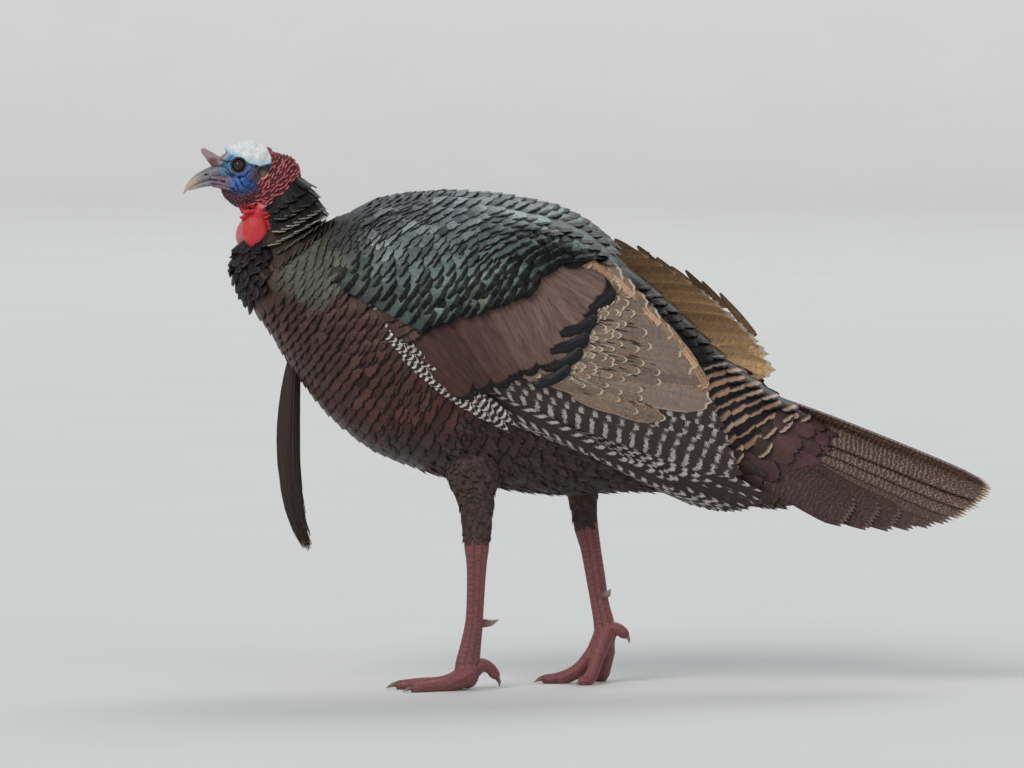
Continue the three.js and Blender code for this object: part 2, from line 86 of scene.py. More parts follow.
# The shield that the folded wing lies on: x, half-width, middle height, half-height.
SHIELD = [(-270, 90, 420, 132), (-180, 119, 416, 162), (-85, 128, 400, 174), (10, 114, 380, 160),
          (105, 90, 342, 138), (200, 69, 288, 124), (295, 54, 240, 110)]
UPPER_ROUND, LOWER_ROUND, SHIELD_LIMIT = 2.1, 2.4, 0.985
SHOULDER = np.array([-200.0, 430.0])
WING_POSE = {"left": (0.0, 0.0, 0.0), "right": (44.0, 8.0, radians(4.5))}
LIFT_ROLL = 0.6
EYE, EYE_RADIUS = np.array([-398.0, 12.0, 600.5]), 7.4
EAR = np.array([-371.0, 17.5, 592.5])
WATTLES = {"left": (-379, -11, 524.5), "right": (-387.5, 11, 519.5)}
WATTLE_HALF = (15.0, 10.0, 19.0)
WATTLE_OUT = 21.0  # how far each wattle's middle hangs from the middle of the throat
LEGS = {
    "left": {
        "thigh": [(-118, -46, 290, 44, 34), (-128, -52, 250, 33, 26), (-126, -54, 222, 21, 17),
            (-125, -54, 200, 18, 14), (-125, -53, 181, 15, 12)],
        "shank": [(-125, -53, 200, 14.5, 11), (-125, -53, 168, 14, 10), (-125, -53, 148, 11.5, 8),
            (-126, -52, 115, 10, 7), (-128, -51, 78, 9.8, 7), (-132, -50, 50, 11.5, 8.5), (-136, -50, 26, 13.5, 12),
            (-136, -50, 13, 12, 12)],
        "middle": [(-134, -50, 18, 12, 11), (-160, -49, 7.4, 9, 9), (-190, -47, 5.6, 7, 8), (-213, -46, 4.4, 5.5, 6)],
        "outer": [(-134, -54, 18, 12, 11), (-158, -66, 7, 8.5, 8.5), (-180, -78, 5.2, 6.5, 7),
            (-196, -87, 4, 5, 5.5)],
        "inner": [(-134, -46, 18, 12, 11), (-154, -33, 7, 8.5, 8.5), (-171, -22, 5.2, 6.5, 7),
            (-184, -13, 4, 5, 5.5)],
        "hind": [(-134, -50, 20, 11, 10), (-120, -44, 28, 7, 7), (-110, -40, 24, 5.6, 5.6),
            (-103, -36, 15, 4.8, 4.8)],
        "claws": {
            "middle": [(-210, -46, 6.6, 4, 3.6), (-213, -46, 6.5, 4, 3.6), (-222, -45.5, 4.5, 2.6, 2.4),
                (-229, -45, 1.5, 0.5, 0.5)],
            "outer": [(-193, -85, 6.2, 3.6, 3.2), (-196, -87, 6, 3.6, 3.2), (-203, -91, 4, 2.4, 2.2),
                (-209, -94, 1.4, 0.5, 0.5)],
            "inner": [(-181, -15, 6.2, 3.6, 3.2), (-184, -13, 6, 3.6, 3.2), (-191, -8.5, 4, 2.4, 2.2),
                (-197, -5, 1.4, 0.5, 0.5)],
            "hind": [(-105, -37, 18, 3.4, 3.2), (-103.5, -36, 16, 3.4, 3.2), (-99, -34, 8, 2.4, 2.2),
                (-99, -33, 2.2, 0.5, 0.5)],
        },
        "spur": [(-124, -47, 76, 6.5, 5.4), (-119, -44, 76, 5.4, 4.6), (-109, -40, 76, 3.6, 3.4),
            (-100, -37, 79.5, 0.5, 0.5)],
    },
    "right": {
        "thigh": [(12, 46, 292, 40, 34), (-2, 52, 256, 30, 26), (-5, 54, 230, 20, 17), (-2, 54, 210, 15.5, 13),
            (-1, 53, 192, 12.5, 11)],
        "shank": [(-1, 53, 212, 13.5, 11), (1, 53, 182, 13.5, 10), (6, 52, 158, 11.5, 8), (12, 50, 123, 10.8, 7),
            (17, 48, 92, 10.2, 7), (22, 46, 68, 11.5, 8.5), (23, 45, 52, 12, 11)],
        "middle": [(20, 45, 56, 10, 10), (10, 43, 36, 8.5, 9), (-8, 41, 15, 7.5, 8.5), (-29, 39, 5.4, 7, 7.5),
            (-45, 38, 4.4, 5.5, 6)],
        "inner": [(23, 40, 54, 9, 9), (15, 31, 33, 7.5, 7.5), (8, 23, 13, 6.5, 7), (2, 18, 4.6, 6, 6.4),
            (-3, 14, 4.2, 5.2, 6)],
        "outer": [(25, 49, 52, 9, 9), (26, 58, 33, 7.5, 7.5), (22, 65, 13, 6.5, 7), (18, 70, 4.4, 6, 6.4),
            (14, 74, 4, 5.2, 6)],
        "hind": [(23, 45, 54, 10, 10), (32, 41, 63, 7, 7), (40, 37, 62, 5.6, 5.6), (46, 35, 57, 4.8, 4.8)],
        "claws": {
            "middle": [(-42, 38, 6.7, 4, 3.6), (-45, 38, 6.5, 4, 3.6), (-53, 37.5, 4.5, 2.6, 2.4),
                (-59, 37, 1.5, 0.5, 0.5)],
            "inner": [(0, 17, 6.3, 3.6, 3.2), (-2, 15, 6, 3.6, 3.2), (-7, 11, 4, 2.4, 2.2), (-11, 8, 1.4, 0.5, 0.5)],
            "outer": [(17, 71, 6.2, 3.6, 3.2), (15, 73, 6, 3.6, 3.2), (11, 78, 4, 2.4, 2.2), (7, 82, 1.4, 0.5, 0.5)],
            "hind": [(43, 36, 60, 3.4, 3.2), (45.5, 35, 58.5, 3.4, 3.2), (50, 33, 53, 2.4, 2.2),
                (51, 32, 47, 0.5, 0.5)],
        },
        "spur": [(19, 47, 101, 6.5, 5.4), (21, 42, 102.5, 5.4, 4.6), (26, 35, 104, 3.6, 3.4),
            (29, 28, 110, 0.5, 0.5)],
    },
}
TOES = ("middle", "outer", "inner", "hind")


# ------------------------------------------------------------------ curves and surfaces
def spline(points, t):
    """A smooth curve through rows of numbers, read at shares t of it; it runs straight on past its ends."""
    p = np.asarray(points, float)
    n = len(p)
    t = np.asarray(t, float)
    inside = np.clip(t, 0, 1) * (n - 1)
    i = np.minimum(inside.astype(int), n - 2)
    u = (inside - i)[..., None]
    q = np.vstack([2 * p[0] - p[1], p, 2 * p[-1] - p[-2]])
    a, b, c, d = q[i], q[i + 1], q[i + 2], q[i + 3]
    m0, m1 = 0.5 * (c - a), 0.5 * (d - b)
    value = b + m0 * u + (-3 * b + 3 * c - 2 * m0 - m1) * u**2 + (2 * b - 2 * c + m0 + m1) * u**3
    over = ((t - np.clip(t, 0, 1)) * (n - 1))[..., None]
    return value + over * np.where(over > 0, m1, m0)


def smooth(low, high, x):
    """0 below low, 1 above high, and an even curve between."""
    s = np.clip((np.asarray(x, float) - low) / (high - low), 0, 1)
    return s * s * (3 - 2 * s)


def on(line, x):
    """The height of a line of corners at x."""
    return np.interp(x, *np.array(line, float).T)


def beside(*columns):
    """Columns of numbers side by side; a single number fills its column."""
    return np.stack(np.broadcast_arrays(*columns), -1)


def unit(v):
    return v / np.maximum(np.linalg.norm(v, axis=-1, keepdims=True), 1e-9)


def body(t, angle, extra=0.0):
    """A place on the body: t in sections from the head end, angle from the back round to the belly."""
    t = np.asarray(t, float) / LAST
    back = spline(BACK, t)
    down = spline(BELLY, t) - back
    reach = np.linalg.norm(down, axis=-1)
    fall = (1 - np.cos(angle)) / 2
    along = (fall * (reach + 2 * extra) - extra) / reach
    place = back + down * along[..., None]
    wide = np.sin(angle)
    bulge = np.sign(wide) * np.abs(wide) ** SECTION_FULLNESS
    half = (spline(GIRTH, t)[..., 0] + extra) * (1 + PEAR * (fall - 0.5)) * bulge
    return np.stack([place[..., 0], half, place[..., 1]], -1)


def coat_surface(t, angle):
    return body(t, angle, -1.5)


def run_of(line):
    """How far along a line of places each of them is."""
    return np.concatenate([[0], np.cumsum(np.linalg.norm(np.diff(line, axis=0), axis=1))])


def shield_half(x, z):
    x = np.asarray(x, float)
    table = np.asarray(SHIELD, float)
    share = (x - table[0, 0]) / (table[-1, 0] - table[0, 0])
    half, middle, rise = np.moveaxis(spline(table[:, 1:], np.clip(share, 0, 1)), -1, 0)
    q = np.minimum(np.abs(z - middle) / rise, SHIELD_LIMIT)
    power = np.where(z > middle, UPPER_ROUND, LOWER_ROUND)
    return half * (1 - q**power) ** (1 / power)


def on_wing(side, x, z, off):
    """A side-view place on one folded wing, standing off its shield; the wing is held as its pose says."""
    back, up, swing = WING_POSE[side]
    x, z = np.asarray(x, float) - SHOULDER[0], np.asarray(z, float)
    flat = z
    z = z - SHOULDER[1]
    held_x = x * cos(swing) - z * sin(swing) + SHOULDER[0] + back
    held_z = x * sin(swing) + z * cos(swing) + SHOULDER[1] + up
    half = shield_half(held_x, flat + (held_z - flat) * LIFT_ROLL) + off
    return np.stack(np.broadcast_arrays(held_x, SIDES[side] * half, held_z), -1)


def wing_over(side, x, z):
    """How far out the folded wing lies at a place in side view of the frame."""
    back, up, swing = WING_POSE[side]
    dx, dz = x - SHOULDER[0] - back, z - SHOULDER[1] - up
    flat = -dx * sin(swing) + dz * cos(swing) + SHOULDER[1]
    return shield_half(x, flat + (z - flat) * LIFT_ROLL)


# ------------------------------------------------------------------ clay: lumps pressed into one smooth body
class Clay:
    """A block of distances to a surface. Lumps are added or cut with a soft join, then it is made a mesh."""

    FAR = 30.0

    def __init__(self, low, high, cell):
        self.low = np.asarray(low, float)
        self.cell = cell
        self.size = np.ceil((np.asarray(high, float) - self.low) / cell).astype(int) + 1
        self.depth = np.full(self.size, self.FAR, np.float32)

    def press(self, low, high, distance, blend, cut=False):
        first = np.clip(np.floor((np.asarray(low) - self.low) / self.cell).astype(int), 1, self.size - 1)
        last = np.clip(np.ceil((np.asarray(high) - self.low) / self.cell).astype(int), 1, self.size - 1)
        if np.any(last <= first):
            return
        axes = [self.low[k] + self.cell * np.arange(first[k], last[k]) for k in range(3)]
        new = distance(*np.meshgrid(*axes, indexing="ij", sparse=True))
        window = tuple(slice(a, b) for a, b in zip(first, last))
        old = self.depth[window]
        sign = -1.0 if cut else 1.0
        old = sign * old
        share = np.clip(0.5 + 0.5 * (new - old) / blend, 0, 1)
        mixed = new * (1 - share) + old * share - blend * share * (1 - share)
        self.depth[window] = sign * mixed

    def ball(self, centre, half, axes=np.eye(3), blend=1.0, cut=False):
        """An ellipsoid with its half-sizes along three axes, given as rows."""
        centre, half, axes = np.asarray(centre, float), np.asarray(half, float), np.asarray(axes, float)

        def distance(x, y, z):
            p = [(x - centre[0]) * a[0] + (y - centre[1]) * a[1] + (z - centre[2]) * a[2] for a in axes]
            near = np.sqrt(sum((p[k] / half[k]) ** 2 for k in range(3)))
            steep = np.sqrt(sum((p[k] / half[k] ** 2) ** 2 for k in range(3)))
            return near * (near - 1) / np.maximum(steep, 1e-6)

        reach = half.max() + 2 * blend + 2 * self.cell
        self.press(centre - reach, centre + reach, distance, blend, cut)

    def rod(self, points, blend=1.0, cut=False, squash=1.0):
        """A round rod through points, each x, y, z, radius; squash makes it narrower across the body."""
        for start, end in zip(points[:-1], points[1:]):
            a, b = np.asarray(start[:3], float), np.asarray(end[:3], float)
            along = (b - a) * (1, squash, 1)
            length = max(along @ along, 1e-9)

            def distance(x, y, z):
                p = (x - a[0], (y - a[1]) * squash, z - a[2])
                share = np.clip((p[0] * along[0] + p[1] * along[1] + p[2] * along[2]) / length, 0, 1)
                gap = np.sqrt(sum((p[k] - share * along[k]) ** 2 for k in range(3)))
                return (gap - (start[3] + (end[3] - start[3]) * share)) / (1 + 0.3 * (squash - 1))

            reach = max(start[3], end[3]) + 2 * blend + 2 * self.cell
            self.press(np.minimum(a, b) - reach, np.maximum(a, b) + reach, distance, blend, cut)

    def read(self, points, depth=None):
        """The distance at places, from the eight cells round each."""
        depth = self.depth if depth is None else depth
        p = np.clip((points - self.low) / self.cell, 0, np.array(depth.shape) - 1.001)
        i = p.astype(int)
        f = p - i
        total = 0
        for dx in (0, 1):
            for dy in (0, 1):
                for dz in (0, 1):
                    w = (f[:, 0] if dx else 1 - f[:, 0]) * (f[:, 1] if dy else 1 - f[:, 1])
                    w = w * (f[:, 2] if dz else 1 - f[:, 2])
                    total = total + w * depth[i[:, 0] + dx, i[:, 1] + dy, i[:, 2] + dz]
        return total

    def slope(self, points):
        """The outward direction at places."""
        step = self.cell * np.eye(3)
        return unit(np.stack([self.read(points + s) - self.read(points - s) for s in step], -1))

    def mesh(self):
        grid = openvdb.FloatGrid(self.FAR)
        grid.copyFromArray(self.depth)
        points, triangles, quads = grid.convertToPolygons(isovalue=0.0, adaptivity=0.0)
        faces = [tuple(int(v) for v in f) for f in triangles] + quads.tolist()
        return self.low + points * self.cell, faces


def pitched(angle):
    """Axes turned about Y, as rows."""
    c, s = cos(angle), sin(angle)
    return np.array([[c, 0, -s], [0, 1, 0], [s, 0, c]])


# ------------------------------------------------------------------ meshes
def store(me, name, value, kind=None):
    """Keeps a number, a vector or a colour for each vertex of a mesh."""
    value = np.asarray(value, float)
    kind = kind or ("FLOAT_VECTOR" if value.ndim == 2 else "FLOAT")
    if kind == "FLOAT_COLOR":
        value = np.hstack([np.clip(value, 0, 1), np.ones((len(value), 1))])
    key = {"FLOAT_COLOR": "color", "FLOAT_VECTOR": "vector"}.get(kind, "value")
    value = value.astype(int) if kind == "INT" else value
    me.attributes.new(name, kind, "POINT").data.foreach_set(key, value.ravel())


def show(name, data):
    """An object in the scene for a mesh, a light or a camera."""
    piece = bpy.data.objects.new(name, data)
    bpy.context.scene.collection.objects.link(piece)
    return piece


def make(name, points, faces, **values):
    """A mesh object from places in millimetres of the drawing, with values for its vertices."""
    me = bpy.data.meshes.new(name)
    me.from_pydata(((np.asarray(points) + SHIFT) * MM).tolist(), [], faces)
    for label, value in values.items():
        store(me, label, value)
    me.polygons.foreach_set("use_smooth", np.ones(len(me.polygons), bool))
    me.validate()
    me.update()
    return show(name, me)


def tube(surface, around, along, closed=True):
    """Places and faces of a closed tube: surface(share, angle) gives its skin."""
    s, a = np.meshgrid(np.linspace(0, 1, along), np.arange(around) / around * 2 * pi, indexing="ij")
    points = surface(s.ravel(), a.ravel())
    rings = points.reshape(along, around, 3)
    points = np.vstack([points, rings[0].mean(0), rings[-1].mean(0)])
    i, j = np.meshgrid(np.arange(along - 1), np.arange(around), indexing="ij")
    k = (j + 1) % around
    faces = np.stack([i * around + j, i * around + k, (i + 1) * around + k, (i + 1) * around + j], -1)
    faces = faces.reshape(-1, 4).tolist()
    start, end = along * around, along * around + 1
    for c in range(around):
        d = (c + 1) % around
        faces.append([start, d, c])
        faces.append([end, (along - 1) * around + c, (along - 1) * around + d])
    centre = points.mean(0)
    if sum(np.dot(points[f[0]] - centre, np.cross(points[f[1]] - centre, points[f[2]] - centre)) for f in faces) < 0:
        faces = [f[::-1] for f in faces]
    return points, faces


def limb_surface(rows):
    """The skin of a limb through rows of x, y, z, half depth, half breadth, for tube()."""
    rows = np.asarray(rows, float)

    def surface(s, angle):
        along = unit(spline(rows[:, :3], s + 0.01) - spline(rows[:, :3], s - 0.01))
        side = unit(np.array([0.0, 1.0, 0.0]) - along * along[:, 1:2])
        deep = np.cross(side, along)
        size = np.maximum(spline(rows[:, 3:], np.clip(s, 0, 1)), 0.05)
        return (spline(rows[:, :3], s) + deep * (size[:, :1] * np.cos(angle)[:, None])
                + side * (size[:, 1:] * np.sin(angle)[:, None]))

    return surface


def welded(pieces):
    """Joins solids into the first one with no walls left inside."""
    first = pieces[0]
    for other in pieces[1:]:
        modifier = first.modifiers.new("join", "BOOLEAN")
        modifier.operation, modifier.solver, modifier.object = "UNION", "MANIFOLD", other
    settle(first)
    for other in pieces[1:]:
        bpy.data.objects.remove(other)
    return first


def settle(piece):
    """Turns a piece's modifiers into a plain mesh."""
    graph = bpy.context.evaluated_depsgraph_get()
    done = bpy.data.meshes.new_from_object(piece.evaluated_get(graph), preserve_all_data_layers=True, depsgraph=graph)
    piece.modifiers.clear()
    old, piece.data = piece.data, done
    bpy.data.meshes.remove(old)
    return piece


def hand_in(piece, nodes=()):
    """Says what a finished piece rides on and hides the parts that it stands for."""
    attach(piece, "root")
    if nodes:
        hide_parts(*nodes)


def colour_of(value):
    return np.asarray(list(value)[:3], float)


def blend(a, b, share):
    share = np.asarray(share, float)[..., None]
    return a * (1 - share) + b * share


# ------------------------------------------------------------------ finishes
class Nodes:
    """A node tree with short names for the nodes used most."""

    def put(self, socket, value):
        if isinstance(value, bpy.types.NodeSocket):
            self.tree.links.new(value, socket)
        elif value is not None:
            socket.default_value = value

    def node(self, kind, settings=None, **inputs):
        made = self.tree.nodes.new(kind)
        for label, value in (settings or {}).items():
            setattr(made, label, value)
        for label, value in inputs.items():
            self.put(made.inputs[label.replace("_", " ")], value)
        return made

    def calc(self, operation, *values, kind="ShaderNodeMath"):
        made = self.node(kind, {"operation": operation})
        for socket, value in zip(made.inputs, values):
            self.put(socket, value)
        return made.outputs[0]

    def times(self, a, b):
        return self.calc("MULTIPLY", a, b)

    def plus(self, a, b):
        return self.calc("ADD", a, b)

    def minus(self, a, b):
        return self.calc("SUBTRACT", a, b)

    def scaled(self, a, by, shift):
        return self.calc("MULTIPLY_ADD", a, by, shift)

    def split(self, vector):
        return self.node("ShaderNodeSeparateXYZ", Vector=vector).outputs

    def pack(self, x, y, z):
        return self.node("ShaderNodeCombineXYZ", X=x, Y=y, Z=z).outputs[0]


class Finish(Nodes):
    """A material built from nodes round one shader."""

    def __init__(self, name, **sockets):
        self.material = bpy.data.materials.new(name)
        self.material.use_nodes = True
        self.tree = self.material.node_tree
        self.shader = self.tree.nodes["Principled BSDF"]
        self.done(**sockets)

    def done(self, **sockets):
        for label, value in sockets.items():
            self.put(self.shader.inputs[label.replace("_", " ")], value)
        return self.material

    def ease(self, low, high, value, to_low=0.0, to_high=1.0):
        made = self.node("ShaderNodeMapRange", {"interpolation_type": "SMOOTHSTEP"}, Value=value, From_Min=low,
                         From_Max=high, To_Min=to_low, To_Max=to_high)
        return made.outputs["Result"]

    def mix(self, share, a, b, mode="MIX"):
        made = self.node("ShaderNodeMix", {"data_type": "RGBA", "blend_type": mode}, Factor=share)
        for k, colour in ((6, a), (7, b)):
            self.put(made.inputs[k], colour if isinstance(colour, bpy.types.NodeSocket) else (*colour, 1.0))
        return made.outputs[2]

    def shaded(self, colour, shade):
        """A colour made lighter or darker by an even amount."""
        return self.mix(1.0, colour, self.pack(shade, shade, shade), "MULTIPLY")

    def stored(self, name, output="Color"):
        return self.node("ShaderNodeAttribute", {"attribute_name": name}).outputs[output]

    def noise(self, vector, scale, detail=2.0, rough=0.5):
        made = self.node("ShaderNodeTexNoise", Vector=vector, Scale=scale, Detail=detail, Roughness=rough)
        return made.outputs["Fac"]

    def place(self):
        return self.node("ShaderNodeTexCoord").outputs["Object"]

    def bump(self, height, depth, strength=1.0):
        made = self.node("ShaderNodeBump", Height=height, Distance=depth, Strength=strength)
        self.put(self.shader.inputs["Normal"], made.outputs[0])


def skin_finish():
    f = Finish("bare_skin", Specular_IOR_Level=0.45, Subsurface_Weight=0.12, Subsurface_Scale=0.002)
    f.shader.inputs["Subsurface Radius"].default_value = (1.0, 0.35, 0.25)
    place = f.place()
    coarse = f.noise(place, 260.0, 4.0, 0.6)
    fine = f.noise(place, 1500.0, 3.0, 0.6)
    pebbles = f.node("ShaderNodeTexVoronoi", Vector=place, Scale=900.0).outputs["Distance"]
    shade = f.ease(0.3, 0.75, coarse, 0.84, 1.10)
    paint = f.shaded(f.stored("paint"), shade)
    speck = f.ease(0.6, 0.72, fine)
    freckle = f.times(speck, f.stored("speckle", "Fac"))
    paint = f.mix(freckle, paint, f.stored("fleck"))
    height = f.plus(f.times(pebbles, 0.7), f.times(fine, 0.4))
    f.bump(height, 0.0005, 0.7)
    return f.done(Base_Color=paint, Roughness=f.stored("dryness", "Fac"))


# ------------------------------------------------------------------ the bare skin
HEAD_FORM = [((-385, 0, 600), (30.0, 16.4, 25.5), 0.1), ((-411, 0, 590), (19, 11, 13.5), -0.2),
             ((-392, 0, 569), (27.0, 12.8, 18.0), 0.35), ((-356, 0, 583), (25.0, 16.4, 31.0), 0.6)]
CAP_LOBES = [(-405, 0, 615, 8.5), (-396, 3, 618, 9.5), (-385, -2, 619.5, 9.6), (-375, 3, 616.5, 8.8),
             (-368, -3, 613, 8.6), (-363, 4, 606, 7.5), (-396, -7, 614, 8), (-384, 9, 613, 8.5), (-373, -9, 611, 8),
             (-374, 10, 609, 7.5), (-386, -10, 612, 8), (-404, 5, 611, 7)]
SNOOD = [(-417, 0, 599, 7.6), (-423, 0, 603, 6.9), (-428.5, 0, 607.5, 5.7), (-433, 0, 611.8, 4.4),
         (-436.8, 0, 615.2, 3.3), (-439.2, 0, 617.2, 2.5)]
NAPE_EDGE = [(540, -389), (549, -386), (560, -381), (570, -374), (580, -377), (586, -372), (592, -363.5),
             (601, -360), (610, -361), (617, -364), (621, -366), (628, -352)]
HEAD_CELL = 0.75
HEAD_SHARE = 0.52  # of the faces of the head that are kept, fewest where it is smooth
LUMP_SEED = 11


def near(p, centre, reach, soft):
    """1 within reach of a place in side view, fading to 0 over soft."""
    return 1 - smooth(reach, reach + soft, np.hypot(p[:, 0] - centre[0], p[:, 2] - centre[1]))


CAP_RIM = [(-424, 618), (-412, 616.5), (-404, 611.5), (-395, 607.5), (-385, 602.5), (-374, 599.5), (-360, 603.5)]
THROAT_LINE = [(-430, 577), (-415, 573), (-405, 570.5), (-392, 566), (-380, 572), (-372, 574)]


def head_regions(p):
    """How far each kind of bare skin holds at places on the head, each from 0 to 1."""
    x, z = p[:, 0], p[:, 2]
    nape = smooth(-1.5, 1.5, x - on(NAPE_EDGE, z))
    cap = smooth(-1.0, 1.0, z - on(CAP_RIM, x)) * (1 - nape) * smooth(-421, -413, x)
    throat = (1 - smooth(-3.0, 3.0, z - on(THROAT_LINE, x))) * (1 - nape)
    return {"nape": nape, "cap": cap, "throat": throat, "snood": smooth(0, 3, (z - 599) * 0.6 - (x + 419)) * (1 - cap)}


def spread(points, lie, long, wide, rng, most=1500):
    """Picks places no nearer each other than long along the lie and wide across it."""
    kept = np.empty((0, 3))
    chosen = []
    for i in rng.permutation(len(points))[:most * 8]:
        gap = kept - points[i]
        along = gap @ lie[i]
        off = np.linalg.norm(gap - along[:, None] * lie[i], axis=1)
        if len(kept) == 0 or np.min((along / long) ** 2 + (off / wide[i]) ** 2) > 1:
            kept = np.vstack([kept, points[i]])
            chosen.append(i)
            if len(chosen) == most:
                break
    return chosen


def lump_lie(p, n):
    """Which way the long lumps of the neck run: steep at the crown, level at the front of the throat."""
    steep = np.radians(np.interp(p[:, 2], [535, 552, 575, 605, 625], [-6, 6, 38, 66, 84]))
    lie = np.stack([np.cos(steep), -0.45 * np.sign(p[:, 1]), np.sin(steep)], -1)
    return unit(lie - n * np.sum(lie * n, 1)[:, None])


CREASES = [
    [(-428, 599), (-419, 600), (-412, 597.5), (-407.5, 592.5), (-403, 589.5)],
    [(-408, 591), (-402, 586), (-392, 588), (-386, 594)], [(-413, 592.5), (-405.5, 587), (-400.5, 578), (-398, 571)],
    [(-398, 588), (-395.5, 581), (-390.5, 575), (-383, 573)], [(-382, 586), (-385.5, 578), (-392, 571)],
    [(-419, 607), (-411, 604), (-406, 606)], [(-408, 575), (-401, 570), (-392, 569)],
]  # the deeper wrinkles of the face
MOUTH_LINES = [[(-434, 584), (-421, 582.6), (-408, 578.5)], [(-430, 580), (-418, 578), (-409, 575)]]


def off_line(p, line):
    """How far places are, in side view, from a line of corners."""
    q, line = p[:, (0, 2)], np.array(line, float)
    gap = np.full(len(q), np.inf)
    for a, b in zip(line[:-1], line[1:]):
        share = np.clip(((q - a) @ (b - a)) / np.sum((b - a) ** 2), 0, 1)
        gap = np.minimum(gap, np.linalg.norm(q - a - share[:, None] * (b - a), axis=1))
    return gap


